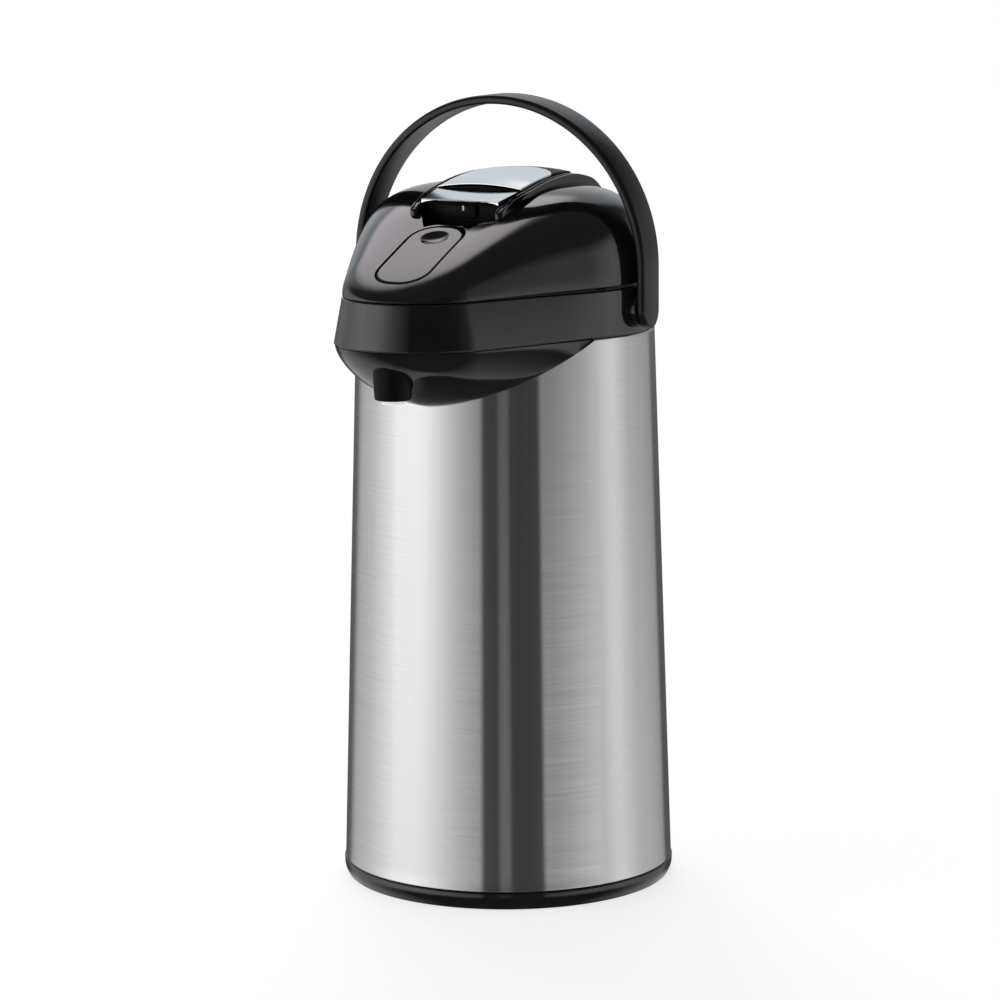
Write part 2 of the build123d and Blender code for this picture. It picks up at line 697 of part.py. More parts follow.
def lever_cradle(core):
    """Tub under the lever's well: side walls, stepped floor, stem guide and pin bores."""
    outside = block(-26.0, 26.0, -49.0, -32.0, 303.0, 340.0) + block(-26.0, 26.0, -32.0, 52.5, 311.5, 340.0)
    inside = block(-WELL_HALF_WIDTH - 0.1, WELL_HALF_WIDTH + 0.1, WELL_FRONT - 0.3, -34.0, 305.0, 345.0)
    inside += block(-WELL_HALF_WIDTH - 0.1, WELL_HALF_WIDTH + 0.1, -34.0, WELL_REAR, 313.5, 345.0)
    cradle = (outside & core) - inside
    cradle -= block(-18.5, 18.5, -56.0, WELL_FRONT + 0.5, 317.5, 345.0)
    cradle += disc(STEM_RADIUS + 3.0, 313.5, 318.0)
    cradle -= disc(STEM_RADIUS + RUNNING_CLEARANCE, 311.0, 320.0)
    cradle -= bar_x(2.0, -26.0, 26.0, *LEVER_HINGE)
    cradle -= tongue_prism(1.6, 14.0, 20.0)
    return largest(cradle)


def lever_pin():
    """Steel pin at the rear of the lever."""
    return bar_x(2.0, -25.8, 25.8, *LEVER_HINGE)


def lever_bezel(form):
    """Two curved side rails on the lid, joined behind the lever by a crowned cap."""
    rails = upright_band(
        Spline(
            (0, -51.5, 326.6), (0, -45.0, 330.1), (0, -37.0, 333.0), (0, -20.0, 337.3), (0, 7.0, 341.4),
            (0, 20.0, 341.9), (0, 31.0, 340.5), (0, 42.0, 337.5), (0, 52.0, 330.0),
        ),
        BEZEL_HALF_WIDTH,
    )
    cap = upright_band(
        Spline((0, LEVER_REAR + 1.5, 341.6), (0, 43.0, 340.2), (0, 48.0, 336.6), (0, 52.0, 331.0)),
        WELL_HALF_WIDTH + 0.2,
    )
    rails -= block(-WELL_HALF_WIDTH, WELL_HALF_WIDTH, -60.0, LEVER_REAR + 1.5, 300.0, 350.0)
    return largest_joined(rails + cap - form)


def upright_band(top, half_width):
    """Solid under a (y, z) curve, down to the lid, to both sides of X = 0."""
    floor = 318.0
    start = top @ 0
    end = top @ 1
    lower = Polyline(end, (0, end.Y, floor), (0, start.Y, floor), start)
    return extrude(make_face(top.edges() + lower.edges()), half_width, dir=(1, 0, 0), both=True)


def largest_joined(shape):
    """All solids of a shape bigger than a crumb."""
    return Compound(children=[solid for solid in shape.solids() if solid.volume > 20.0])


def lever_top_curve(lower):
    """Top line of the lever from its front lip to its rear, lowered by a distance."""
    return Spline(
        (0, -24.5, 339.0 - lower), (0, -8.0, 342.4 - lower), (0, 14.0, 344.9 - lower),
        (0, 36.0, 342.4 - lower),
    )


def lever_band(upper, lower, half_width):
    """Curved band of the lever between two depths below its top line, rounded at the rear."""
    top = lever_top_curve(upper)
    under = lever_top_curve(lower)
    front = Line(top @ 0, under @ 0)
    rear = Line(top @ 1, under @ 1)
    outline = make_face(top.edges() + under.edges() + front.edges() + rear.edges())
    band = extrude(outline, half_width, dir=(1, 0, 0), both=True)
    plan = RectangleRounded(2 * half_width, 2 * (LEVER_REAR + 6.0), 14.0)
    return band & Pos(0, -6.0, 320.0) * extrude(plan, 40.0)


def lever_plate():
    """Chrome plate let into the top of the lever, with an elliptical rear edge."""
    plan = Pos(0, PLATE_SHOULDER - 20.0) * Rectangle(60.0, 40.0)
    plan += Pos(0, PLATE_SHOULDER) * Ellipse(LEVER_HALF_WIDTH + 0.1, PLATE_REAR - PLATE_SHOULDER)
    return lever_band(0.0, PLATE_THICKNESS, LEVER_HALF_WIDTH) & Pos(0, 0, 320.0) * extrude(plan, 40.0)


def lever_lip():
    """Chrome strip along the lever's front edge."""
    strip = side_profile(
        [(-43.0, 331.7), (-43.4, 332.6), (-42.8, 333.5), (-24.6, 337.2), (-24.6, 336.0), (-42.2, 332.0)],
        LEVER_HALF_WIDTH,
    )
    return strip


def lever_frame():
    """Black lever body: arched tray, front skirt, push boss and hinge hub."""
    tray = lever_band(0.0, 9.5, LEVER_HALF_WIDTH - 0.2) - lever_plate()
    tray += side_profile(
        [(-42.2, 331.9), (-24.4, 336.0), (-24.4, 329.5), (-36.6, 329.5), (-38.6, 330.9), (-42.0, 331.2)],
        22.3,
    )
    tray += block(-22.3, 22.3, -38.6, -36.6, 320.0, 331.0)
    tray -= block(-20.3, 20.3, -22.0, 27.0, 325.0, 335.5)
    tray += block(-3.0, 3.0, -21.0, 26.0, 330.5, 337.0)
    tray += bar_x(5.0, -6.0, 6.0, 0.0, 334.0)
    hub_y, hub_z = LEVER_HINGE
    arm = side_profile(
        [
            (27.0, 340.5), (35.6, 339.6), (35.6, 328.5), (hub_y, 327.0), (hub_y, 318.0), (38.0, 318.0),
            (27.0, 332.0),
        ],
        21.5,
    )
    tray += arm - block(-17.5, 17.5, 29.0, 60.0, 300.0, 345.0)
    tray += bar_x(4.6, -21.5, 21.5, hub_y, hub_z)
    tray -= bar_x(2.0 + RUNNING_CLEARANCE, -22.0, 22.0, hub_y, hub_z)
    tray -= block(-3.4, 11.4, -42.5, -36.0, 326.1, 328.9)
    return largest(tray)


def lock_slider():
    """Slide lock on the lever's skirt, with its neck and keeper."""
    face = block(-7.0, 7.0, -40.4, -38.8, 324.4, 330.5)
    neck = block(-3.0, 3.0, -38.8, -36.4, 326.4, 328.6)
    keeper = block(-5.0, 5.0, -36.4, -35.2, 324.8, 329.2)
    return face + neck + keeper


def lock_mark():
    """White pointer on the slide lock."""
    return block(-0.6, 0.6, -40.7, -40.4, 327.6, 330.3)


def latch_tongue(form):
    """Tongue in the hood with a thumb dimple, its pivot rib and the leg with the latch tooth."""
    thickness = 4.4
    tongue = largest((form - lid_form(thickness, LID_BOTTOM - 1.5)) & tongue_prism(0.0, 30.0, 20.0))
    dimple_y = -66.0
    dimple_radius = 13.0
    dimple_z = lid_height(0.0, dimple_y) + dimple_radius - 2.2
    tongue -= Pos(0, dimple_y, dimple_z) * Sphere(dimple_radius)
    hinge_y, hinge_z = LATCH_HINGE
    inside = lid_form(thickness - 1.0, LID_BOTTOM - 1.5)
    under = largest(inside & block(-8.0, 8.0, -86.0, -74.0, hinge_z - 3.6, 320.0))
    link = largest(inside & block(-6.5, 6.5, -103.7, -101.0, 290.5, 320.0))
    leg = block(-8.0, 8.0, -105.5, -103.7, 284.5, 293.4)
    tooth = block(-8.0, 8.0, -103.7, -102.6, 284.5, 287.0)
    tongue += under + link + leg + tooth
    tongue -= bar_x(1.55, -9.0, 9.0, hinge_y, hinge_z)
    return largest(tongue)


def latch_pin():
    """Pivot pin of the tongue."""
    return bar_x(1.5, -18.3, 18.3, *LATCH_HINGE)


def build():
    """Every sub-part by name."""
    form = lid_form(0.0, LID_BOTTOM)
    core = lid_form(LID_WALL, LID_BOTTOM - 1.5)
    return {
        "outer_shell": outer_shell(),
        "base_cup": base_cup(),
        "foot_mat": foot_mat(),
        "base_screws": base_screws(),
        "liner_cradle": liner_cradle(),
        "liner_cushion": liner_cushion(),
        "liner_outer": liner_outer(),
        "liner_inner": liner_inner(),
        "neck_collar": neck_collar(),
        "collar_screws": collar_screws(),
        "head_housing": head_housing(),
        "chin_cover": chin_cover(),
        "spout_nozzle": spout_nozzle(),
        "spout_tip": spout_tip(),
        "delivery_pipe": delivery_pipe(),
        "tube_head": tube_head(),
        "tube_sleeve": tube_sleeve(),
        "dip_tube": dip_tube(),
        "latch_catch": latch_catch(),
        "handle_pins": handle_pins(),
        "lid_hinge_pin": lid_hinge_pin(),
        "handle": handle(),
        "lid_shell": lid_shell(form, core),
        "lid_base": lid_base(),
        "lid_screws": lid_screws(),
        "pump_housing": pump_housing(),
        "lid_gasket": lid_gasket(),
        "air_valve": air_valve(),
        "lever_cradle": lever_cradle(core),
        "lever_pin": lever_pin(),
        "lever_bezel": lever_bezel(form),
        "latch_pin": latch_pin(),
        "bellows": bellows(),
        "bellows_spring": bellows_spring(),
        "pump_plunger": pump_plunger(),
        "lever_plate": lever_plate(),
        "lever_lip": lever_lip(),
        "lever_frame": lever_frame(),
        "lock_slider": lock_slider(),
        "lock_mark": lock_mark(),
        "latch_tongue": latch_tongue(form),
    }


os.makedirs("parts", exist_ok=True)
for name, shape in build().items():
    export_step(shape, f"parts/{name}.step")
    print(name, round(shape.volume))
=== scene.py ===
import json
import math

import bmesh
import bpy
import numpy as np
from mathutils import Matrix, Vector
from mathutils.bvhtree import BVHTree


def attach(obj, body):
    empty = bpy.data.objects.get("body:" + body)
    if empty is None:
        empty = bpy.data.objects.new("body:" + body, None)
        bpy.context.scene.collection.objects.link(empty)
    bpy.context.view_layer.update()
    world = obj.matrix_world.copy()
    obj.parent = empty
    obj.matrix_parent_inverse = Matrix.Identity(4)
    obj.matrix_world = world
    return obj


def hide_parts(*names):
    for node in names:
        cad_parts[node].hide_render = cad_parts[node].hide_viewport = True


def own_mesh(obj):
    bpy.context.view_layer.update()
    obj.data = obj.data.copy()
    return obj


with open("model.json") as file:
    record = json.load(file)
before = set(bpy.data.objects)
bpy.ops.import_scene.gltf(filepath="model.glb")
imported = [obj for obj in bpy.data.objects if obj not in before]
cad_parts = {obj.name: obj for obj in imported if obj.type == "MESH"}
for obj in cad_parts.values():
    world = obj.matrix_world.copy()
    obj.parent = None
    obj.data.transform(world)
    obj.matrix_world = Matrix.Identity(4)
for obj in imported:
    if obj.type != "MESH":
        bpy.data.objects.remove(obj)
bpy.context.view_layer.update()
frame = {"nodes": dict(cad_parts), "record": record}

# Thermal coffee airpot. Geometry below is worked out in millimetres and scaled to metres once.
MM = 0.001
SIDES = (-1, 1)

# Body
BASE_RADIUS = 80.0
RIM_RADIUS = 71.9
SHELL_FOOT = 9.0
SHELL_TOP = 269.5
# Head
BELT_RADIUS = 72.0
NOSE_DISTANCE = 78.5
NOSE_RADIUS = 37.5
NOSE_FLARE = 4.1
BELT_TOP = 291.5
LID_BOTTOM = 291.8
LID_INSET = 0.2
HINGE_Y = 73.5
HINGE_Z = 291.5
HEAD_WALL = 2.5
DECK_TOP = 272.0
LID_WALL = 2.4
LID_CROWN = 338.6
LID_SLOPE = 0.4355
LID_CENTRE_Y = -22.0
SIDE_POWER = 5.0
NOSE_POWER = 14.0
CROWN_POWER = 2.6
# Chin
CHIN_DEPTH = 30.2
CHIN_HALF_ANGLE = 64.0
CHIN_FADE = 1.56
CHIN_ROOT = 73.1
CHIN_BULGE = 1.45
# Handle
HANDLE_HALF_WIDTH = 79.6
HANDLE_SPRING_Z = 299.5
HANDLE_TOP = 380.6
HANDLE_THICKNESS = 4.6
LEG_WIDTH = 17.0
TOP_WIDTH = 21.0
LEG_END_Z = 272.0
PIVOT_Z = 280.8
# Lever, tongue and spout
LEVER_HALF_WIDTH = 22.5
LEVER_CROWN = 1.9
PLATE_SHOULDER = 3.5
PLATE_REAR = 18.0
BEZEL_HALF_WIDTH = 27.3
RAIL_FRONT = -48.2
RAIL_DRAW_IN = 2.6
RAIL_REAR = 52.0
WELL_HALF_WIDTH = 23.3
WELL_FRONT = -46.5
WELL_FLOOR = 300.0
TONGUE_CENTRE_Y = -81.0
TONGUE_SLOPE = math.radians(20.8)
TONGUE_HALF_WIDTH = 13.75
TONGUE_HALF_LENGTH = 27.0
TONGUE_CORNER = 12.0
SLOT_GAP = 0.75
SLOT_REAR_GAP = 1.8
SCOOP_HALF_WIDTH = 20.0
SCOOP_HALF_LENGTH = 6.0
LEVER_FRONT = -24.4
LEVER_HINGE_Y = 44.0
LEVER_HINGE_Z = 322.5
FRONT_TAPER = 0.08
BELLOWS_BOTTOM = 287.0
BELLOWS_TOP = 306.0
SPRING_RADIUS = 18.0
SPRING_WIRE = 0.9
SPRING_PITCH = 4.0
SPOUT_Y = -106.5
SPOUT_BOTTOM = 246.5


# ---------------------------------------------------------------- mesh helpers

def add_mesh(name, points, faces):
    """Object from points in millimetres, with its normals turned outwards."""
    mesh = bpy.data.meshes.new(name)
    mesh.from_pydata([tuple(float(c) * MM for c in p) for p in points], [], faces)
    obj = bpy.data.objects.new(name, mesh)
    bpy.context.scene.collection.objects.link(obj)
    work = bmesh.new()
    work.from_mesh(mesh)
    bmesh.ops.remove_doubles(work, verts=work.verts, dist=1e-6)
    bmesh.ops.dissolve_degenerate(work, dist=1e-7, edges=work.edges)
    bmesh.ops.recalc_face_normals(work, faces=work.faces)
    work.to_mesh(mesh)
    work.free()
    return obj


def full_turn(steps):
    """Evenly spread angles of one turn."""
    return np.linspace(0, 2 * math.pi, steps, endpoint=False)


def clamp(value):
    """The value kept between 0 and 1."""
    return float(np.clip(value, 0.0, 1.0))


def smooth(obj, sharp_degrees=35.0):
    """Smooth shading with edges kept sharp above an angle."""
    for polygon in obj.data.polygons:
        polygon.use_smooth = True
    obj.data.set_sharp_from_angle(angle=math.radians(sharp_degrees))
    return obj


def lattice(name, rows, closed_rows=False, fan_first=False, fan_last=False):
    """Quads between consecutive closed rows of points; ends may be closed by a fan."""
    rows = [np.asarray(row, float) for row in rows]
    count = len(rows[0])
    points = [tuple(p) for row in rows for p in row]
    faces = []
    last = len(rows) if closed_rows else len(rows) - 1
    for i in range(last):
        a = i * count
        b = ((i + 1) % len(rows)) * count
        for j in range(count):
            k = (j + 1) % count
            faces.append((a + j, a + k, b + k, b + j))
    for wanted, row, index in ((fan_first, rows[0], 0), (fan_last, rows[-1], len(rows) - 1)):
        if wanted:
            points.append(tuple(row.mean(axis=0)))
            centre = len(points) - 1
            for j in range(count):
                faces.append((index * count + j, index * count + (j + 1) % count, centre))
    return add_mesh(name, points, faces)


def turned(name, profile, steps=256, centre=(0.0, 0.0)):
    """Surface of revolution about an upright axis from (radius, height) points."""
    angles = full_turn(steps)
    rows = []
    for radius, height in profile:
        x = centre[0] + radius * np.cos(angles)
        y = centre[1] + radius * np.sin(angles)
        rows.append(np.column_stack([x, y, np.full(steps, height)]))
    return lattice(name, rows, closed_rows=True)


def arc(centre, radius, start_degrees, end_degrees, steps=8):
    """Points of an arc in the (radius, height) plane."""
    out = []
    for angle in np.radians(np.linspace(start_degrees, end_degrees, steps)):
        out.append((centre[0] + radius * math.cos(angle), centre[1] + radius * math.sin(angle)))
    return out


def box_mesh(name, low, high, bevel=0.4):
    """Box with rounded edges."""
    (x0, y0, z0), (x1, y1, z1) = low, high
    corners = [(x, y, z) for x in (x0, x1) for y in (y0, y1) for z in (z0, z1)]
    faces = [(0, 1, 3, 2), (4, 6, 7, 5), (0, 4, 5, 1), (2, 3, 7, 6), (0, 2, 6, 4), (1, 5, 7, 3)]
    obj = add_mesh(name, corners, faces)
    round_edges(obj, bevel)
    return obj


def round_edges(obj, width, segments=3, angle=40.0):
    """Bevels the sharp edges, applied to the mesh."""
    modifier = obj.modifiers.new("round", "BEVEL")
    modifier.width = width * MM
    modifier.segments = segments
    modifier.limit_method = "ANGLE"
    modifier.angle_limit = math.radians(angle)
    modifier.harden_normals = False
    apply_modifiers(obj)
    return smooth(obj, 50.0)


def apply_modifiers(obj):
    """Replaces the mesh by its evaluated form."""
    depsgraph = bpy.context.evaluated_depsgraph_get()
    result = bpy.data.meshes.new_from_object(obj.evaluated_get(depsgraph))
    obj.modifiers.clear()
    obj.data = result


def join(name, parts):
    """One object from several."""
    work = bmesh.new()
    for part in parts:
        work.from_mesh(part.data)
    mesh = bpy.data.meshes.new(name)
    work.to_mesh(mesh)
    work.free()
    for part in parts:
        bpy.data.objects.remove(part)
    obj = bpy.data.objects.new(name, mesh)
    bpy.context.scene.collection.objects.link(obj)
    return obj


# ---------------------------------------------------------------- head forms

def on_circle(radius, centre_y, angles):
    """Points of a circle about the Z axis shifted along Y."""
    return np.stack([radius * np.cos(angles), radius * np.sin(angles) + centre_y], -1)


def egg(body, nose):
    """Points of the egg outline: two circles and their common tangents."""
    slant = math.asin((body - nose) / NOSE_DISTANCE)
    left = math.pi + slant
    right = 2 * math.pi - slant
    shares = np.linspace(0, 1, 26, endpoint=False)[:, None]
    points = [on_circle(body, 0.0, np.linspace(-slant, left, 120, endpoint=False))]
    start, end = on_circle(body, 0.0, left), on_circle(nose, -NOSE_DISTANCE, left)
    points.append(start + (end - start) * shares)
    points.append(on_circle(nose, -NOSE_DISTANCE, np.linspace(left, right, 84, endpoint=False)))
    start, end = on_circle(nose, -NOSE_DISTANCE, right), on_circle(body, 0.0, right)
    points.append(start + (end - start) * shares)
    return np.concatenate(points)


def polar(points, centre_y):
    """Directions of an outline's points from a centre on the Y axis, in order, and their distances."""
    x, y = points[:, 0], points[:, 1] - centre_y
    angles = np.arctan2(y, x)
    order = np.argsort(angles)
    return angles[order], np.hypot(x, y)[order]


def egg_row(body, nose, z):
    """Egg outline at a height."""
    points = egg(body, nose)
    return np.column_stack([points, np.full(len(points), z)])


def circle_row(radius, z, like):
    """Circle about the body axis with its points in the directions of another row."""
    angles = np.unwrap(np.arctan2(like[:, 1] - LID_CENTRE_Y, like[:, 0]))
    return np.column_stack([radius * np.cos(angles), radius * np.sin(angles), np.full(len(angles), z)])


def crown_height(y):
    """Ridge line of the lid."""
    ease = 12.0
    before = (-18.5 - y) / ease
    run = ease * np.logaddexp(0.0, before)
    return LID_CROWN - LID_SLOPE * run - 0.0012 * np.maximum(0.0, y - 20.0) ** 2


def shoulder_power(direction):
    """How square the lid's shoulder is, by direction from its centre."""
    return SIDE_POWER + (NOSE_POWER - SIDE_POWER) * np.maximum(0.0, -np.sin(direction)) ** 2


def lid_rows(inset, turns):
    """Rows of the lid's dome from its edge (turn 0) towards its centre (turn 1)."""
    edge = egg(BELT_RADIUS - LID_INSET - inset, NOSE_RADIUS - LID_INSET - inset)
    centre = np.array([0.0, LID_CENTRE_Y])
    spokes = edge - centre
    direction = np.arctan2(spokes[:, 1], spokes[:, 0])
    power = shoulder_power(direction)
    rows = []
    for turn in turns:
        share = np.cos(turn * math.pi / 2) ** (2.0 / power)
        lift = math.sin(turn * math.pi / 2) ** (2.0 / CROWN_POWER)
        plan = centre + spokes * share[:, None]
        z = BELT_TOP + (crown_height(plan[:, 1]) - inset - BELT_TOP) * lift
        rows.append(np.column_stack([plan, z]))
    return rows


EDGE_ANGLE, EDGE_REACH = polar(egg(BELT_RADIUS - LID_INSET, NOSE_RADIUS - LID_INSET), LID_CENTRE_Y)


def lid_z(x, y):
    """Height of the lid's outer surface over a point."""
    direction = math.atan2(y - LID_CENTRE_Y, x)
    reach = np.interp(direction, EDGE_ANGLE, EDGE_REACH, period=2 * math.pi)
    share = min(0.99999, math.hypot(x, y - LID_CENTRE_Y) / reach)
    lift = (1.0 - share ** float(shoulder_power(direction))) ** (1.0 / CROWN_POWER)
    return BELT_TOP + (float(crown_height(y)) - BELT_TOP) * lift


# ---------------------------------------------------------------- pieces

def make_shell():
    """Steel shell with a hemmed foot and a rolled rim."""
    rim = [(RIM_RADIUS - 0.5, SHELL_TOP - 0.1)] + arc((RIM_RADIUS - 0.75, SHELL_TOP - 0.9), 0.8, 80, 5, 6)
    slope = (BASE_RADIUS - RIM_RADIUS) / (SHELL_TOP - SHELL_FOOT)
    side = []
    for z in np.linspace(SHELL_TOP - 2.0, SHELL_FOOT + 1.2, 40):
        side.append((BASE_RADIUS - slope * (z - SHELL_FOOT), z))
    foot = arc((BASE_RADIUS - 0.55, SHELL_FOOT + 0.65), 0.6, 0, -90, 6)
    inside = [(BASE_RADIUS - 1.1, SHELL_FOOT + 0.1), (RIM_RADIUS - 1.2, SHELL_TOP - 1.3)]
    inside += [(66.0, SHELL_TOP - 1.3), (66.0, SHELL_TOP - 0.1)]
    return smooth(turned("steel_shell", rim + side + foot + inside, 320), 50)


def make_base():
    """Black base ring with a bead, a soft lower edge and its floor."""
    profile = [(78.7, 15.8), (78.7, SHELL_FOOT - 0.05), (79.9, SHELL_FOOT - 0.05)]
    profile += arc((79.8, SHELL_FOOT - 0.75), 0.7, 90, 0, 6)
    profile += [(80.45, 6.6), (80.35, 5.0), (80.0, 3.6), (79.4, 2.3), (78.8, 1.3)]
    profile += arc((77.7, 1.6), 1.15, -25, -90, 5)
    profile += [(71.3, 0.5), (70.2, 1.9), (40.0, 2.0), (1.0, 2.0), (1.0, 4.5), (75.6, 4.5), (75.6, 15.8)]
    return smooth(turned("base_ring", profile, 320), 40)


def make_belt():
    """Belt of the head: flared wall with rounded edges, deck, pivot bosses."""
    flare_z = BELT_TOP - SHELL_TOP

    def row(z, inset):
        share = (BELT_TOP - z) / flare_z
        return egg_row(BELT_RADIUS - inset, NOSE_RADIUS + NOSE_FLARE * share - inset, z)

    rows = [row(SHELL_TOP + 0.02, 7.0)]
    for angle in np.linspace(0, 90, 7):
        turn = math.radians(angle)
        rows.append(row(SHELL_TOP + 1.0 - 1.0 * math.cos(turn), 1.0 - 1.0 * math.sin(turn)))
    for z in np.linspace(SHELL_TOP + 1.5, BELT_TOP - 1.0, 12):
        rows.append(row(z, 0.0))
    for angle in np.linspace(0, 90, 6):
        turn = math.radians(angle)
        rows.append(row(BELT_TOP - 0.6 + 0.6 * math.sin(turn), 0.6 - 0.6 * math.cos(turn)))
    rows.append(row(BELT_TOP, HEAD_WALL))
    rows.append(row(DECK_TOP, HEAD_WALL))
    rows.append(circle_row(37.9, DECK_TOP, rows[-1]))
    rows.append(circle_row(37.9, SHELL_TOP + 0.02, rows[-1]))
    parts = [lattice("belt", rows, closed_rows=True)]
    parts += [side_boss(side) for side in SIDES]
    parts += [hinge_knuckle(12.3 * side, 21.0 * side, True) for side in SIDES]
    return smooth(join("belt_shell", parts), 40)


def side_boss(side):
    """Pivot boss between the belt and a handle leg."""
    profile = [(4.1, 71.0), (8.5, 71.0), (8.5, 74.0)] + arc((7.9, 74.0), 0.6, 0, 90, 4) + [(4.1, 74.6)]
    return turned_along_x("boss", profile, side, (0.0, PIVOT_Z))


def turned_along_x(name, profile, side, centre, steps=64):
    """Surface of revolution about an axis along X from (radius, distance along X) points."""
    angles = full_turn(steps)
    rows = []
    for radius, along in profile:
        y = centre[0] + radius * np.cos(angles)
        z = centre[1] + radius * np.sin(angles)
        rows.append(np.column_stack([np.full(steps, side * along), y, z]))
    return lattice(name, rows, closed_rows=True)


def hinge_knuckle(x0, x1, with_foot):
    """Hinge knuckle at the rear, and the foot that carries it down the belt."""
    low, high = sorted((x0, x1))
    profile = [(1.7, low), (3.7, low), (4.3, low + 0.6), (4.3, high - 0.6), (3.7, high), (1.7, high)]
    knuckle = turned_along_x("knuckle", profile, 1, (HINGE_Y, HINGE_Z))
    if not with_foot:
        return knuckle
    foot = box_mesh("foot", (low + 0.2, 69.9, 279.0), (high - 0.2, 75.6, 289.6), 1.6)
    return join("hinge", [knuckle, foot])


def make_lid_knuckle():
    """The lid's own knuckle on the hinge pin, with its web."""
    web = box_mesh("web", (-11.4, 69.9, 292.3), (11.4, 73.6, 295.6), 0.6)
    return smooth(join("lid_knuckle", [hinge_knuckle(-11.5, 11.5, False), web]), 40)


def make_lid():
    """Lid dome: closed shell with its slot for the tongue and its well for the lever."""
    turns = list(np.linspace(0.0, 0.12, 9)) + list(np.linspace(0.15, 0.985, 46))
    outer = lid_rows(0.0, turns)
    inner = lid_rows(LID_WALL, turns)
    for row in inner:
        row[:, 2] = np.maximum(row[:, 2], LID_BOTTOM)
    lower = []
    radius = 0.5
    for angle in np.linspace(90, 0, 6):
        turn = math.radians(angle)
        inset = radius - radius * math.sin(turn)
        z = LID_BOTTOM + radius - radius * math.cos(turn)
        lower.append(egg_row(BELT_RADIUS - LID_INSET - inset, NOSE_RADIUS - LID_INSET - inset, z))
    lower.reverse()
    for row in outer:
        row[:, 2] = np.maximum(row[:, 2], LID_BOTTOM + radius)
    lid = lattice("lid_dome", outer[::-1] + lower + inner, fan_first=True, fan_last=True)
    source = lid.copy()
    source.data = lid.data.copy()
    cutters = [tongue_cutter(), well_cutter()]
    for cutter in cutters:
        modifier = lid.modifiers.new("cut", "BOOLEAN")
        modifier.operation = "DIFFERENCE"
        modifier.solver = "EXACT"
        modifier.object = cutter
    bpy.context.view_layer.update()
    apply_modifiers(lid)
    for cutter in cutters:
        bpy.data.objects.remove(cutter)
    open_below(lid)
    keep_form_normals(lid, source)
    return lid


def open_below(obj):
    """Removes the flat floor that the well's cutter leaves in the lid."""
    work = bmesh.new()
    work.from_mesh(obj.data)
    floor = [face for face in work.faces if all(abs(v.co.z - WELL_FLOOR * MM) < 1e-6 for v in face.verts)]
    bmesh.ops.delete(work, geom=floor, context="FACES")
    work.to_mesh(obj.data)
    work.free()


def keep_form_normals(obj, source):
    """Gives faces that lie on a smooth source form the source's own normals, and leaves cut faces flat."""
    mesh = source.data
    tree = BVHTree.FromPolygons([v.co for v in mesh.vertices], [tuple(p.vertices) for p in mesh.polygons])
    vertices = [(v.co.copy(), v.normal.copy()) for v in mesh.vertices]
    normals = []
    for polygon in obj.data.polygons:
        polygon.use_smooth = True
        for index in polygon.vertices:
            point = obj.data.vertices[index].co
            _, _, face, distance = tree.find_nearest(point)
            mixed = Vector((0, 0, 0))
            if distance is not None and distance < 2e-5:
                for i in mesh.polygons[face].vertices:
                    mixed += vertices[i][1] / ((vertices[i][0] - point).length + 1e-7)
                mixed.normalize()
            normals.append(tuple(mixed if mixed.dot(polygon.normal) > 0.86 else polygon.normal))
    obj.data.normals_split_custom_set(normals)
    bpy.data.objects.remove(source)


def rounded_rectangle(half_width, half_height, radius, steps=14):
    """Outline points of a rounded rectangle, counterclockwise, with evenly spread sides."""
    points = []
    corners = (
        (half_width - radius, half_height - radius, 0), (-half_width + radius, half_height - radius, 90),
        (-half_width + radius, -half_height + radius, 180), (half_width - radius, -half_height + radius, 270),
    )
    for index, (cx, cy, start) in enumerate(corners):
        for angle in np.radians(np.linspace(start, start + 90, steps)):
            points.append((cx + radius * math.cos(angle), cy + radius * math.sin(angle)))
        nx, ny, nstart = corners[(index + 1) % 4]
        first = np.array(points[-1])
        angle = math.radians(nstart)
        last = np.array([nx + radius * math.cos(angle), ny + radius * math.sin(angle)])
        length = np.linalg.norm(last - first)
        for share in np.linspace(0, 1, max(3, int(length / 1.5)))[1:-1]:
            points.append(tuple(first + (last - first) * share))
    return np.array(points)


def slope_point(u, v, lift):
    """Point at (u, v) on the tongue's sloping plane, raised square to it."""
    centre_z = lid_z(0.0, TONGUE_CENTRE_Y)
    cosine = math.cos(TONGUE_SLOPE)
    sine = math.sin(TONGUE_SLOPE)
    return (u, TONGUE_CENTRE_Y + v * cosine - lift * sine, centre_z + v * sine + lift * cosine)


def surface_lift(u, v):
    """How far the lid's surface stands off the tongue's sloping plane at (u, v)."""
    lift = 0.0
    for _ in range(12):
        x, y, z = slope_point(u, v, lift)
        lift += (lid_z(x, y) - z) * math.cos(TONGUE_SLOPE)
    return lift


def tongue_cutter():
    """Slot around the tongue, wider behind it."""
    outline = rounded_rectangle(
        TONGUE_HALF_WIDTH + SLOT_GAP, TONGUE_HALF_LENGTH + SLOT_GAP, TONGUE_CORNER + SLOT_GAP
    )
    rows = []
    for lift in (-9.0, 8.0):
        row = []
        for u, v in outline:
            behind = SLOT_REAR_GAP * max(0.0, v / TONGUE_HALF_LENGTH) ** 2
            row.append(slope_point(u, v + behind, lift))
        rows.append(row)
    return lattice("slot", rows, fan_first=True, fan_last=True)


def well_cutter():
    """Space for the lever and the finger hollow in front of it."""
    half = WELL_HALF_WIDTH + 0.4
    front = [(x, -67.0 + 15.3 * math.sqrt(1.0 - (x / 16.2) ** 2)) for x in np.linspace(-12.0, 12.0, 25)]
    corner = [(half, WELL_FRONT), (19.0, WELL_FRONT), (14.2, -53.6), (13.3, -54.8)]
    outline = [(half, 40.0), (-half, 40.0)] + [(-x, y) for x, y in corner] + front + corner[::-1]
    rows = [[(x, y, z) for x, y in outline] for z in (WELL_FLOOR, 360.0)]
    return lattice("well", rows, fan_first=True, fan_last=True)


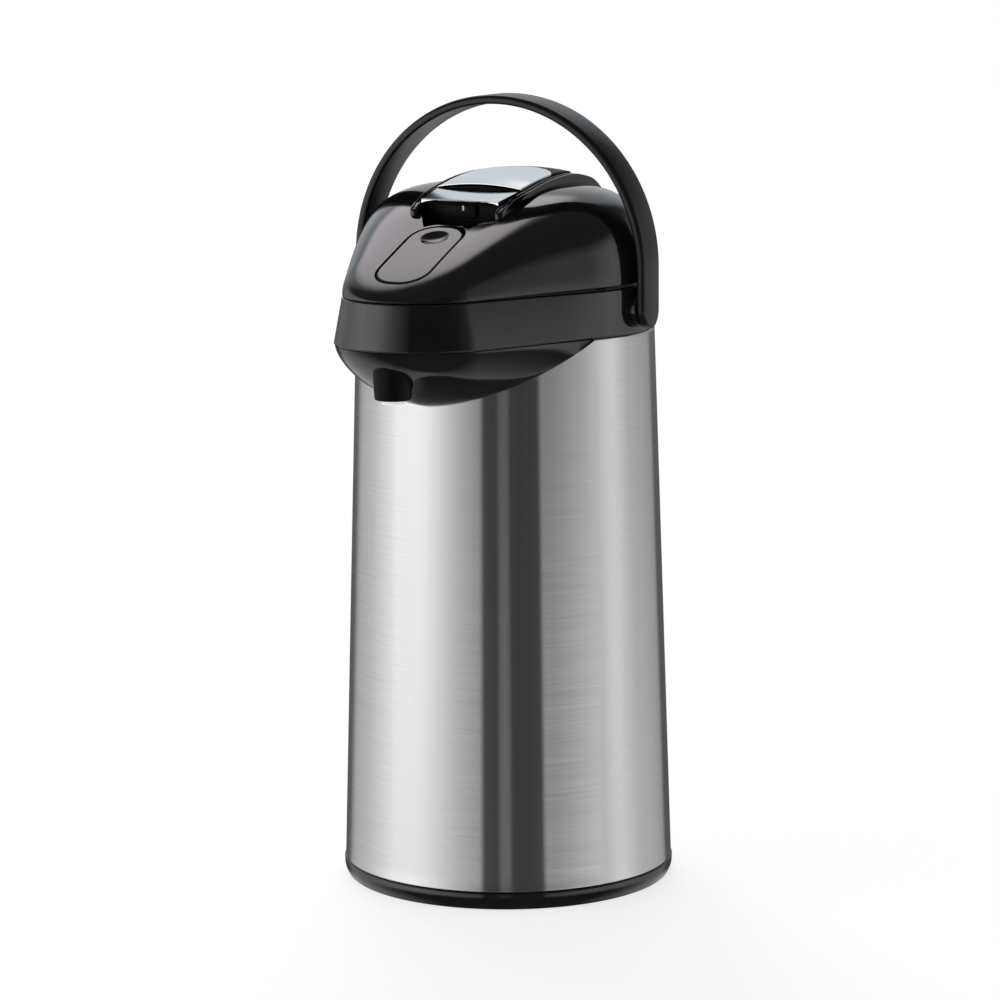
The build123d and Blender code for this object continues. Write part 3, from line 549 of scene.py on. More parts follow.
def make_tongue():
    """Latch tongue: follows the hood, with a rounded rim, a thumb dimple and deep sides."""
    outline = rounded_rectangle(TONGUE_HALF_WIDTH, TONGUE_HALF_LENGTH, TONGUE_CORNER)
    rows = []
    rim = 0.9
    for share in 1.0 - (1.0 - np.linspace(0.0, 1.0, 64)) ** 1.35:
        row = []
        for u0, v0 in outline:
            u, v = u0 * share, v0 * share
            inset = (1.0 - share) * min(TONGUE_HALF_WIDTH, math.hypot(u0, v0))
            lift = surface_lift(u, v) - 0.12
            if inset < rim:
                lift -= rim - math.sqrt(max(0.0, rim ** 2 - (rim - inset) ** 2))
            lift -= dimple_depth(u, v)
            row.append(slope_point(u, v, lift))
        rows.append(row)
    rows.append([slope_point(u, v, surface_lift(u, v) - 5.0) for u, v in outline])
    tongue = lattice("tongue_pad", rows[1:], fan_first=True, fan_last=True)
    leg = box_mesh("leg", (-8.0, -105.5, 284.5), (8.0, -103.7, 293.4), 0.3)
    link = box_mesh("link", (-6.5, -104.0, 290.5), (6.5, -101.0, 298.6), 0.3)
    tooth = box_mesh("tooth", (-8.0, -104.2, 284.5), (8.0, -102.6, 287.0), 0.3)
    rib = box_mesh("rib", (-8.0, -86.0, 299.6), (8.0, -74.0, 308.5), 0.5)
    return smooth(join("latch_tongue_shell", [tongue, leg, link, tooth, rib]), 40)


def dimple_depth(u, v):
    """Depth of the thumb dimple below the tongue's face."""
    du = (u + 0.3) / 7.2
    dv = (v - 15.8) / 6.4
    away = du * du + dv * dv
    if away >= 1.0:
        return 0.0
    return 1.7 * (1.0 - away) ** 1.05


def make_scoop():
    """Floor of the finger hollow before the lever; it ends short of the hollow's front corners."""
    rows = []
    for share in np.linspace(0.04, 1.0, 24):
        row = []
        depth = 4.0 * (1.0 - share ** 2.2)
        for angle in full_turn(72):
            x = SCOOP_HALF_WIDTH * share * math.cos(angle)
            y = min(WELL_FRONT + 0.4 + SCOOP_HALF_LENGTH * share * math.sin(angle), -45.8)
            row.append((x, y, min(lid_z(x, y) - 7.0, 317.0) - depth))
        rows.append(row)
    under = [[(x, y, z - 1.2) for x, y, z in row] for row in reversed(rows)]
    return smooth(lattice("finger_scoop", rows + under, fan_first=True, fan_last=True), 60)


def rail_top(y):
    """Height of the side rails and the rear bridge."""
    knots_y = [RAIL_FRONT, -45.0, -37.0, -29.0, -20.0, -9.0, 7.0, 20.0, 31.0, 42.0, 50.0, RAIL_REAR]
    knots_z = [328.0, 330.1, 333.0, 335.4, 337.3, 339.5, 341.4, 341.9, 340.5, 337.5, 332.2, 330.4]
    return hermite(y, knots_y, knots_z)


def hermite(value, xs, ys):
    """Smooth curve through knots, with slopes from their neighbours."""
    xs = np.asarray(xs, float)
    ys = np.asarray(ys, float)
    slopes = np.gradient(ys, xs)
    i = int(np.clip(np.searchsorted(xs, value) - 1, 0, len(xs) - 2))
    span = xs[i + 1] - xs[i]
    t = float(np.clip((value - xs[i]) / span, 0.0, 1.0))
    return (
        (2 * t ** 3 - 3 * t ** 2 + 1) * ys[i] + (t ** 3 - 2 * t ** 2 + t) * span * slopes[i]
        + (-2 * t ** 3 + 3 * t ** 2) * ys[i + 1] + (t ** 3 - t ** 2) * span * slopes[i + 1]
    )


def make_bezel():
    """Side rails with a grooved top, joined behind the lever by a curved bridge."""
    parts = [rail(side) for side in SIDES] + [bridge()]
    return smooth(join("bezel", parts), 35)


def rail(side):
    """One side rail: an upright strip with a round front end and a groove along its top."""
    half = (BEZEL_HALF_WIDTH - WELL_HALF_WIDTH) / 2
    rows = []
    tip = RAIL_FRONT + half * np.linspace(0.02, 1.0, 12) ** 2
    for y in np.concatenate([tip, np.linspace(-45.8, RAIL_REAR, 80)]):
        centre = (BEZEL_HALF_WIDTH + WELL_HALF_WIDTH) / 2
        centre -= RAIL_DRAW_IN * clamp((-22.0 - y) / 26.0) ** 1.5
        ahead = clamp(1.0 - (y - RAIL_FRONT) / half)
        wide = half * math.sqrt(1.0 - ahead ** 2) + 0.02
        top = rail_top(y) - 0.5 * ahead ** 3
        groove = 0.7 * clamp((y - RAIL_FRONT - 0.9) / 0.8) * clamp((38.0 - y) / 5.0)
        low = min(lid_z(BEZEL_HALF_WIDTH, y) - 2.0, top - 1.4)
        section = [
            (-1.0, low), (-1.0, top - 0.8), (-0.9, top - 0.25), (-0.66, top), (-0.5, top - 0.05),
            (-0.36, top - groove), (0.36, top - groove), (0.5, top - 0.1), (0.66, top - 0.1),
            (0.9, top - 0.35), (1.0, top - 0.9), (1.0, low),
        ]
        rows.append([(side * (centre + wide * share), y, z) for share, z in section])
    return lattice("rail", rows, fan_first=True, fan_last=True)


def bridge():
    """Crowned plate between the rails behind the lever."""
    rows = []
    for y in np.linspace(37.4, RAIL_REAR, 24):
        top = rail_top(y) - 0.2
        section = []
        for x in np.linspace(-WELL_HALF_WIDTH - 0.2, WELL_HALF_WIDTH + 0.2, 25):
            section.append((x, y, top + 1.9 * (1.0 - (x / WELL_HALF_WIDTH) ** 2)))
        for x in np.linspace(WELL_HALF_WIDTH + 0.2, -WELL_HALF_WIDTH - 0.2, 9):
            section.append((x, y, min(top - 0.8, lid_z(x, y) - 2.0)))
        rows.append(section)
    return lattice("bridge", rows, fan_first=True, fan_last=True)


def lever_top(x, y):
    """Height of the lever's top, which is crowned both ways."""
    ridge = hermite(y, [-24.5, -8.0, 3.0, 14.0, 26.0, 36.5], [339.4, 342.4, 343.8, 344.6, 344.1, 342.3])
    return ridge - LEVER_CROWN * (x / LEVER_HALF_WIDTH) ** 2


def make_plate():
    """Chrome lever plate with an elliptical rear edge."""
    stations = [(y, LEVER_HALF_WIDTH) for y in np.linspace(-24.5, PLATE_SHOULDER, 50)]
    for angle in np.radians(np.linspace(1.5, 89.0, 60)):
        y = PLATE_SHOULDER + (PLATE_REAR - PLATE_SHOULDER) * math.sin(angle)
        stations.append((y, LEVER_HALF_WIDTH * math.cos(angle)))
    rows = []
    edge = 0.4
    for y, half in stations:
        top_row = []
        for share in np.linspace(-1.0, 1.0, 61):
            x = half * math.sin(share * math.pi / 2)
            near = min(edge, half - abs(x))
            top_row.append((x, y, lever_top(x, y) - edge + math.sqrt(edge ** 2 - (edge - near) ** 2)))
        thin = min(1.1, 0.3 + 0.2 * (y + 24.5))
        rows.append(top_row + [(x, yy, z - thin) for x, yy, z in reversed(top_row)])
    plate = lattice("lever_cover", rows, fan_first=True, fan_last=True)
    return smooth(plate, 35)


def make_frame():
    """Black lever body: crowned cover around the chrome, skirt, arms, push boss and hinge hub."""
    parts = [cover(), skirt()]
    arm = [(27.0, 340.0), (35.6, 338.8), (35.6, 328.5), (LEVER_HINGE_Y, 327.0), (LEVER_HINGE_Y, 318.0)]
    arm += [(38.0, 318.0), (27.0, 332.0)]
    parts += [prism("arm", arm, side * 17.5, side * 21.5) for side in SIDES]
    hub = [(0.0, -21.5), (4.2, -21.5), (4.6, -21.1), (4.6, 21.1), (4.2, 21.5), (0.0, 21.5)]
    parts.append(bar_along_x("hub", hub, LEVER_HINGE_Y, LEVER_HINGE_Z))
    boss = [(0.0, -6.0), (4.6, -6.0), (5.0, -5.6), (5.0, 5.6), (4.6, 6.0), (0.0, 6.0)]
    parts.append(bar_along_x("boss", boss, 0.0, 334.0))
    parts.append(box_mesh("rib", (-3.0, -21.0, 330.5), (3.0, 26.0, 340.0), 0.3))
    parts.append(box_mesh("front_wall", (-20.9, -38.6, 320.0), (20.9, -36.6, 331.0), 0.3))
    return smooth(join("lever_body", parts), 40)


def bar_along_x(name, profile, y, z):
    """Round bar along X from (radius, x) points."""
    rows = []
    for radius, x in profile:
        reach = max(radius, 0.01)
        rows.append([(x, y + reach * math.cos(t), z + reach * math.sin(t)) for t in full_turn(48)])
    return lattice(name, rows, fan_first=True, fan_last=True)


def prism(name, outline, x0, x1):
    """Closed (y, z) outline between two X planes, with softened edges."""
    rows = [[(x, y, z) for y, z in outline] for x in (x0, x1)]
    obj = lattice(name, rows, fan_first=True, fan_last=True)
    round_edges(obj, 0.35)
    return obj


def cover():
    """Top of the lever's black body, hollow below, rounded at its rear corners."""
    rows = []
    corner = 14.0
    shoulder = 22.4
    rear = shoulder + corner * np.sin(np.radians(np.linspace(2, 89, 30)))
    for y in np.concatenate([np.linspace(-24.3, shoulder, 60), rear]):
        half = LEVER_HALF_WIDTH - 0.2
        if y > shoulder:
            half -= corner - math.sqrt(max(0.0, corner ** 2 - (y - shoulder) ** 2))
        section = []
        for share in np.linspace(-1.0, 1.0, 41):
            x = half * math.sin(share * math.pi / 2)
            near = min(0.5, half - abs(x))
            section.append((x, y, lever_top(x, y) - 0.62 + math.sqrt(0.25 - (0.5 - near) ** 2)))
        side_z = lever_top(half, y)
        section += [(half, y, side_z - 7.6), (half - 2.0, y, side_z - 7.6), (half - 2.0, y, side_z - 4.0)]
        section += [(2.0 - half, y, side_z - 4.0), (2.0 - half, y, side_z - 7.6), (-half, y, side_z - 7.6)]
        rows.append(section)
    return lattice("cover", rows, fan_first=True, fan_last=True)


def skirt():
    """Sloping front of the black body under the chrome lip."""
    rows = []
    for share in np.linspace(-1.0, 1.0, 31):
        fall = 0.5 * share ** 2
        section = [(-42.0, 331.8), (LEVER_FRONT, 335.7), (LEVER_FRONT, 329.5)]
        section += [(-36.6, 329.5), (-38.6, 330.6), (-41.8, 331.1)]
        rows.append([(share * (21.9 + (y - LEVER_FRONT) * FRONT_TAPER), y, z - fall) for y, z in section])
    return smooth(lattice("skirt", rows, fan_first=True, fan_last=True), 30)


def make_lip():
    """Chrome strip along the lever's front edge, narrower to the front and deeper at its corners."""
    rows = []
    for share in np.linspace(-1.0, 1.0, 61):
        deep = 0.05 + 1.3 * abs(share) ** 8
        fall = 0.12 * share ** 2
        section = [
            (LEVER_FRONT, 336.9), (-30.0, 335.75), (-36.0, 334.5), (-42.3, 333.19), (-42.9, 333.06),
            (-43.1, 333.0), (-43.3, 332.88), (-43.4, 332.7), (-43.35, 332.55 - deep), (-43.1, 332.45 - deep),
            (-42.4, 332.35 - deep * 0.8),
            (-41.6, 331.9), (-36.0, 333.3), (LEVER_FRONT, 335.6),
        ]
        rows.append([(share * (22.2 + (y - LEVER_FRONT) * FRONT_TAPER), y, z - fall) for y, z in section])
    return smooth(lattice("lever_lip_strip", rows, fan_first=True, fan_last=True), 30)


def make_handle():
    """Bail handle: rounded strap section swept over the arch and down both legs."""
    a = HANDLE_HALF_WIDTH - HANDLE_THICKNESS / 2
    b = HANDLE_TOP - HANDLE_THICKNESS / 2 - HANDLE_SPRING_Z
    end_radius = LEG_WIDTH / 2
    leg = end_heights(end_radius) + list(np.linspace(LEG_END_Z + end_radius + 1.0, HANDLE_SPRING_Z - 1.0, 8))
    stations = [(a, z, 0.0) for z in leg]
    for angle in np.linspace(0, math.pi, 121):
        x = a * math.cos(angle)
        z = HANDLE_SPRING_Z + b * math.sin(angle)
        stations.append((x, z, math.atan2(a * math.sin(angle), b * math.cos(angle))))
    stations += [(-a, z, math.pi) for z in reversed(leg)]
    rows = [handle_section(x, z, lean, end_radius) for x, z, lean in stations]
    handle = lattice("handle_bail", rows, fan_first=True, fan_last=True)
    return smooth(handle, 60)


def end_heights(end_radius):
    """Heights of the stations around a leg's rounded end."""
    return [LEG_END_Z + end_radius * (1.0 - math.cos(angle)) for angle in np.linspace(0.06, math.pi / 2, 16)]


def handle_section(x, z, lean, end_radius):
    """Rounded strap section at a station; lean is the outward direction's angle in the XZ plane."""
    top_share = max(0.0, (z - HANDLE_SPRING_Z) / (HANDLE_TOP - HANDLE_SPRING_Z))
    half = end_radius + (TOP_WIDTH / 2 - end_radius) * min(1.0, top_share * 1.15)
    below = LEG_END_Z + end_radius - z
    if below > 0:
        half = math.sqrt(max(0.0, end_radius ** 2 - below ** 2))
    thick = HANDLE_THICKNESS / 2
    round_out = min(2.0, half * 0.7)
    round_in = min(1.1, half * 0.7)
    out_dir = np.array([math.cos(lean), 0.0, math.sin(lean)])
    centre = np.array([x, 0.0, z])
    outline = []
    corners = ((round_out, 1, 1, 0), (round_out, -1, 1, 90), (round_in, -1, -1, 180), (round_in, 1, -1, 270))
    for radius, sign_y, sign_t, start in corners:
        for angle in np.radians(np.linspace(start, start + 90, 7)):
            y = sign_y * (half - radius) + radius * math.cos(angle)
            t = sign_t * (thick - radius) + radius * math.sin(angle)
            outline.append((y, t))
    crown = 0.45
    points = []
    for y, t in outline:
        fall = crown * (y / max(half, 0.1)) ** 2 if t > 0 else 0.0
        points.append(centre + out_dir * (t - fall) + np.array([0.0, y, 0.0]))
    return points


def make_chin():
    """Chin shell under the nose, swelling from the body to the belt."""
    drops = list(1.0 - np.linspace(0.0, 1.0, 40) ** 1.6)
    rows = []
    for angle in np.linspace(-CHIN_HALF_ANGLE, CHIN_HALF_ANGLE, 141):
        outer = [chin_point(angle, drop, 0.0) for drop in drops]
        inner = [chin_point(angle, drop, 2.0) for drop in reversed(drops)]
        rows.append(outer + inner)
    return smooth(lattice("chin_shell", rows), 50)


def chin_point(angle, drop, inset):
    """Point of the chin at an angle from the front; drop runs from 0 at the belt to 1 at the body."""
    turn = abs(angle) / CHIN_HALF_ANGLE
    depth = CHIN_DEPTH * (1.0 - turn ** CHIN_FADE)
    outline = chin_edge(angle)
    bulge = (1.0 - drop ** CHIN_BULGE) ** (1.0 / CHIN_BULGE)
    radius = CHIN_ROOT + (outline - CHIN_ROOT) * bulge - inset * 0.6
    z = SHELL_TOP - 0.25 - depth * drop + inset * min(1.0, 2.0 * drop)
    aside = math.radians(angle)
    return (radius * math.sin(aside), -radius * math.cos(aside), min(z, SHELL_TOP - 0.2))


CHIN_ANGLE, CHIN_REACH = polar(egg(BELT_RADIUS, NOSE_RADIUS + NOSE_FLARE - 0.6), 0.0)


def chin_edge(angle):
    """Radius of the belt's lower edge about the body axis, at an angle from the front."""
    return float(np.interp(math.radians(angle - 90.0), CHIN_ANGLE, CHIN_REACH, period=2 * math.pi))


def make_spout():
    """Nozzle with a soft lower edge and an open bore."""
    profile = [(6.3, 252.0), (6.3, SPOUT_BOTTOM + 0.3), (6.7, SPOUT_BOTTOM)]
    profile += arc((7.7, SPOUT_BOTTOM + 0.8), 0.8, -90, 0, 6)
    profile += [(8.75, 250.0), (9.0, 255.0), (9.2, 261.0), (9.2, 271.5), (3.5, 271.5), (3.5, 252.0)]
    return smooth(turned("nozzle", profile, 96, (0.0, SPOUT_Y)), 40)


def make_tip():
    """White anti-drip insert with a rounded mouth."""
    profile = [(3.3, 251.8), (3.3, 245.4)]
    profile += arc((3.9, 245.2), 0.6, 180, 270, 5) + arc((4.6, 245.2), 0.7, -80, 0, 5)
    profile += [(5.5, 246.6), (6.1, 247.2), (6.1, 251.8)]
    return smooth(turned("drip_tip", profile, 72, (0.0, SPOUT_Y)), 40)


def make_bellows():
    """Rubber bellows with four round folds, built in its rest shape."""
    outside = []
    for z in np.linspace(BELLOWS_BOTTOM, BELLOWS_TOP, 81):
        wave = 0.5 - 0.5 * math.cos(8.0 * math.pi * (z - BELLOWS_BOTTOM) / (BELLOWS_TOP - BELLOWS_BOTTOM))
        outside.append((29.0 - 5.0 * wave ** 0.8, z))
    inside = [(radius - 1.5, z) for radius, z in reversed(outside)]
    return smooth(turned("bellows_skin", outside + inside, 128), 60)


def make_spring():
    """Return spring: round wire coiled inside the bellows."""
    rows = []
    low = BELLOWS_BOTTOM + SPRING_WIRE + 0.2
    high = BELLOWS_TOP - SPRING_WIRE - 0.2
    for share in np.linspace(0.0, 1.0, 300):
        turn = share * 2 * math.pi * (high - low) / SPRING_PITCH
        row = []
        for around in full_turn(12):
            radius = SPRING_RADIUS + SPRING_WIRE * math.cos(around)
            z = low + share * (high - low) + SPRING_WIRE * math.sin(around)
            row.append((radius * math.cos(turn), radius * math.sin(turn), z))
        rows.append(row)
    return smooth(lattice("return_spring", rows, fan_first=True, fan_last=True), 60)


def make_slider():
    """Slide lock on the lever's skirt."""
    face = box_mesh("face", (-7.0, -40.4, 324.4), (7.0, -38.8, 330.5), 0.5)
    neck = box_mesh("neck", (-3.0, -38.9, 326.4), (3.0, -36.3, 328.6), 0.1)
    keeper = box_mesh("keeper", (-5.0, -36.4, 324.8), (5.0, -35.2, 329.2), 0.2)
    return smooth(join("slide_lock", [face, neck, keeper]), 50)


def make_mark():
    """White pointer on the slide lock."""
    return box_mesh("slide_mark", (-0.2, -40.65, 327.9), (0.8, -40.35, 330.2), 0.12)


# ---------------------------------------------------------------- materials

def feed(tree, socket, value):
    """Links a source to a socket, or sets the socket's plain number or colour."""
    if isinstance(value, bpy.types.NodeSocket):
        tree.links.new(value, socket)
    elif isinstance(value, tuple):
        socket.default_value = (*value, 1.0)
    else:
        socket.default_value = value


def vary(tree, node, **sources):
    """Links varying sources to a shader's inputs."""
    for name, source in sources.items():
        tree.links.new(source, node.inputs[name.replace("_", " ")])


def blend(tree, share, first, second):
    """Mix of two colours, each a source or a plain colour."""
    node = tree.nodes.new("ShaderNodeMix")
    node.data_type = "RGBA"
    for index, value in ((0, share), (6, first), (7, second)):
        feed(tree, node.inputs[index], value)
    return node.outputs[2]


def shader(name, color, roughness, metallic=0.0, **extra):
    """New material with a Principled shader and its plain values."""
    material = bpy.data.materials.new(name)
    material.use_nodes = True
    node = material.node_tree.nodes["Principled BSDF"]
    node.inputs["Base Color"].default_value = (*color, 1.0)
    node.inputs["Roughness"].default_value = roughness
    node.inputs["Metallic"].default_value = metallic
    for key, value in extra.items():
        node.inputs[key.replace("_", " ")].default_value = value
    return material, material.node_tree, node


def noise(tree, scale, detail=3.0, roughness=0.5, stretch=(1.0, 1.0, 1.0)):
    """Noise over object coordinates, in turns per metre."""
    coords = tree.nodes.new("ShaderNodeTexCoord")
    mapping = tree.nodes.new("ShaderNodeMapping")
    mapping.inputs["Scale"].default_value = stretch
    texture = tree.nodes.new("ShaderNodeTexNoise")
    texture.inputs["Scale"].default_value = scale
    texture.inputs["Detail"].default_value = detail
    texture.inputs["Roughness"].default_value = roughness
    tree.links.new(coords.outputs["Object"], mapping.inputs["Vector"])
    tree.links.new(mapping.outputs["Vector"], texture.inputs["Vector"])
    return texture.outputs["Fac"]


def spread(tree, source, low, high, start=0.3, end=0.7):
    """Maps a noise value onto a range."""
    node = tree.nodes.new("ShaderNodeMapRange")
    node.inputs["From Min"].default_value = start
    node.inputs["From Max"].default_value = end
    node.inputs["To Min"].default_value = low
    node.inputs["To Max"].default_value = high
    tree.links.new(source, node.inputs["Value"])
    return node.outputs["Result"]


def bump(tree, source, node, strength, distance):
    """Fine relief on a shader."""
    relief = tree.nodes.new("ShaderNodeBump")
    relief.inputs["Strength"].default_value = strength
    relief.inputs["Distance"].default_value = distance
    tree.links.new(source, relief.inputs["Height"])
    tree.links.new(relief.outputs["Normal"], node.inputs["Normal"])


def brushed_steel():
    """Stainless sheet brushed around the body."""
    material, tree, node = shader(
        "brushed_steel", (0.62, 0.61, 0.60), 0.17, 1.0, Anisotropic=1.0, Anisotropic_Rotation=0.25
    )
    tangent = tree.nodes.new("ShaderNodeTangent")
    tangent.direction_type = "RADIAL"
    tangent.axis = "Z"
    grain = noise(tree, 1.0, 3.0, 0.6, (25.0, 25.0, 3200.0))
    streaks = spread(tree, grain, 0.0, 1.0, 0.35, 0.65)
    color = blend(tree, streaks, (0.585, 0.58, 0.575), (0.655, 0.65, 0.645))
    roughness = spread(tree, grain, 0.14, 0.21, 0.35, 0.65)
    vary(tree, node, Tangent=tangent.outputs["Tangent"], Roughness=roughness, Base_Color=color)
    bump(tree, grain, node, 0.05, 0.00002)
    return material


def gloss_black():
    """Glossy black moulded plastic with a faint orange peel."""
    material, tree, node = shader(
        "gloss_black", (0.006, 0.006, 0.007), 0.06, IOR=1.5, Specular_IOR_Level=0.65
    )
    patch = noise(tree, 60.0, 2.0)
    color = blend(tree, patch, (0.005, 0.005, 0.006), (0.009, 0.009, 0.010))
    vary(tree, node, Roughness=spread(tree, patch, 0.05, 0.10), Base_Color=color)
    bump(tree, noise(tree, 260.0, 2.0), node, 0.03, 0.0001)
    return material


def satin_black():
    """Satin black moulded plastic with a fine texture."""
    material, tree, node = shader("satin_black", (0.006, 0.006, 0.007), 0.30, IOR=1.5, Specular_IOR_Level=0.4)
    fine = noise(tree, 900.0, 3.0)
    color = blend(tree, fine, (0.004, 0.004, 0.005), (0.008, 0.008, 0.009))
    vary(tree, node, Roughness=spread(tree, noise(tree, 70.0, 2.0), 0.26, 0.34), Base_Color=color)
    bump(tree, fine, node, 0.06, 0.00006)
    return material


def painted_shade_black():
    """The same satin plastic made darker and duller as painted shade, where it sits deep under the lever and
    takes little light.
    """
    material, tree, node = shader(
        "painted_shade_black", (0.003, 0.003, 0.003), 0.45, IOR=1.5, Specular_IOR_Level=0.1
    )
    fine = noise(tree, 900.0, 3.0)
    vary(tree, node, Base_Color=blend(tree, fine, (0.002, 0.002, 0.002), (0.005, 0.005, 0.005)))
    bump(tree, fine, node, 0.06, 0.00006)
    return material


def chrome():
    """Bright plated plastic."""
    material, tree, node = shader("chrome", (0.80, 0.83, 0.86), 0.10, 1.0)
    patch = noise(tree, 45.0, 3.0)
    color = blend(tree, patch, (0.76, 0.79, 0.82), (0.84, 0.86, 0.89))
    vary(tree, node, Roughness=spread(tree, patch, 0.08, 0.14), Base_Color=color)
    return material


def plain_steel():
    """Turned or drawn steel of pins, screws and the liner."""
    material, tree, node = shader("plain_steel", (0.55, 0.55, 0.56), 0.32, 1.0)
    grain = noise(tree, 1.0, 3.0, 0.6, (40.0, 40.0, 900.0))
    color = blend(tree, grain, (0.48, 0.48, 0.49), (0.62, 0.62, 0.63))
    vary(tree, node, Roughness=spread(tree, grain, 0.25, 0.42), Base_Color=color)
    return material


def moulded(name, dark, light, roughness, through=0.0, painted_glow=0.0):
    """Plain moulded plastic or rubber with a light mottling, and an optional painted glow that brightens it
    as if more light fell on it.
    """
    material, tree, node = shader(name, light, roughness)
    fine = noise(tree, 500.0, 3.0)
    color = blend(tree, noise(tree, 80.0, 3.0), dark, light)
    vary(tree, node, Roughness=spread(tree, fine, roughness - 0.06, roughness + 0.06), Base_Color=color)
    node.inputs["Subsurface Weight"].default_value = through
    node.inputs["Subsurface Radius"].default_value = (0.003, 0.003, 0.003)
    node.inputs["Subsurface Scale"].default_value = 1.0
    # emission is painted light: a glow that lightens the part though it is no lamp
    node.inputs["Emission Color"].default_value = (*light, 1.0)
    node.inputs["Emission Strength"].default_value = painted_glow
    bump(tree, fine, node, 0.08, 0.00006)
    return material


MATERIALS = {
    # darker, duller copy of the satin black: painted shade for pieces that sit in shadow
    "painted_shade_black": painted_shade_black(),
    "brushed_steel": brushed_steel(),
    "plain_steel": plain_steel(),
    "black_gloss": gloss_black(),
    "black_satin": satin_black(),
    "chrome": chrome(),
    "grey_plastic": moulded("grey_plastic", (0.30, 0.30, 0.29), (0.38, 0.38, 0.37), 0.45),
    # white plastic gets a faint painted glow so the drip tip and slide mark look brighter
    "white_plastic": moulded("white_plastic", (0.88, 0.88, 0.86), (0.94, 0.94, 0.93), 0.35, 0.3, 0.12),
    "rubber": moulded("rubber", (0.014, 0.014, 0.014), (0.022, 0.022, 0.022), 0.7),
    "silicone": moulded("silicone", (0.62, 0.62, 0.59), (0.72, 0.72, 0.69), 0.5, 0.2),
}


def dress_cad_nodes():
    """Each CAD node gets its slot's material and clean shading."""
    slots = {entry["node"]: entry["material_slot"] for entry in frame["record"]["subparts"]}
    for name, obj in frame["nodes"].items():
        obj.data.materials.clear()
        obj.data.materials.append(MATERIALS[slots[name]])
        for polygon in obj.data.polygons:
            polygon.use_smooth = True
        weld = obj.modifiers.new("weld", "WELD")
        weld.merge_threshold = 1e-6
        split = obj.modifiers.new("split", "EDGE_SPLIT")
        split.split_angle = math.radians(30)
        weighted = obj.modifiers.new("weighted", "WEIGHTED_NORMAL")
        weighted.keep_sharp = True


def place(obj, body, slot, *nodes, painted_shade_material=None):
    """Rides a piece on its body in place of its CAD nodes, with the slot's material or a darker painted-shade
    copy of it.
    """
    obj.data.materials.clear()
    obj.data.materials.append(MATERIALS[painted_shade_material or slot])
    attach(obj, body)
    if nodes:
        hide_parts(*nodes)


def build_pieces():
    """Every visible piece."""
    place(make_shell(), "body", "brushed_steel", "outer_shell")
    place(make_base(), "body", "black_gloss", "base_cup")
    place(make_belt(), "body", "black_gloss", "head_housing")
    place(make_chin(), "body", "black_gloss", "chin_cover")
    # painted shade: the nozzle under the chin gets the darker, duller black
    place(make_spout(), "body", "black_gloss", "spout_nozzle", painted_shade_material="painted_shade_black")
    place(make_tip(), "body", "white_plastic", "spout_tip")
    place(make_handle(), "handle", "black_satin", "handle")
    place(make_lid(), "lid", "black_gloss", "lid_shell")
    place(make_lid_knuckle(), "lid", "black_gloss")
    # painted shade: the finger scoop gets the darker, duller black
    place(make_scoop(), "lid", "black_gloss", painted_shade_material="painted_shade_black")
    place(make_bezel(), "lid", "black_gloss", "lever_bezel")
    place(make_tongue(), "latch", "black_gloss", "latch_tongue")
    place(make_plate(), "lever", "chrome", "lever_plate")
    place(make_lip(), "lever", "chrome", "lever_lip")
    # painted shade: the lever body under the chrome gets the darker, duller black
    place(make_frame(), "lever", "black_satin", "lever_frame", painted_shade_material="painted_shade_black")
    soft_pieces = ((make_bellows(), "rubber", "bellows"), (make_spring(), "plain_steel", "bellows_spring"))
    for soft, slot, node in soft_pieces:
        place(soft, "lid", slot, node)
        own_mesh(soft)
    # painted shade: the slide lock gets the darker, duller black
    place(make_slider(), "lock", "black_satin", "lock_slider", painted_shade_material="painted_shade_black")
    place(make_mark(), "lock", "white_plastic", "lock_mark")


# ---------------------------------------------------------------- stage, light and camera

CAMERA_AZIMUTH = math.radians(29.0)
CAMERA_DISTANCE = 1.819
CAMERA_HEIGHT = 0.489
CAMERA_PITCH = math.radians(9.52)
CAMERA_ROLL = math.radians(-0.38)
CAMERA_TURN = math.radians(0.09574)
LENS = 136.8
SENSOR = 36.0


def make_camera():
    """Long-lens camera in front of the object, turned a little so the body stands right of centre."""
    back = Vector((math.sin(CAMERA_AZIMUTH), -math.cos(CAMERA_AZIMUTH), 0.0))
    data = bpy.data.cameras.new("camera")
    data.lens = LENS
    data.sensor_width = SENSOR
    data.clip_end = 50.0
    obj = bpy.data.objects.new("camera", data)
    obj.matrix_world = (
        Matrix.Translation(back * CAMERA_DISTANCE + Vector((0, 0, CAMERA_HEIGHT)))
        @ Matrix.Rotation(CAMERA_AZIMUTH + CAMERA_TURN, 4, "Z")
        @ Matrix.Rotation(math.pi / 2 - CAMERA_PITCH, 4, "X")
        @ Matrix.Rotation(CAMERA_ROLL, 4, "Z")
    )
    bpy.context.scene.collection.objects.link(obj)
    bpy.context.scene.camera = obj


# Studio brightness around the horizon: degrees clockwise from the side behind the object, and level.
# 180 is the camera's side.
STUDIO = [
    (0, 0.10), (28, 0.12), (40, 0.55), (62, 0.74), (83, 1.08), (92, 1.32), (107, 1.41), (121, 1.34),
    (134, 1.14), (147, 0.92), (161, 0.70), (162.5, 0.12), (173, 0.09), (175, 0.30), (181, 0.30),
    (182.5, 0.09), (190, 0.075), (204.5, 0.10), (206, 0.66), (214, 0.68), (231, 0.93), (245, 1.08),
    (253, 0.93), (262, 1.08), (268, 1.06), (276, 0.87), (288, 0.70), (307, 0.57), (322, 0.42), (328, 0.10),
    (360, 0.10),
]
OVERHEAD = 0.10
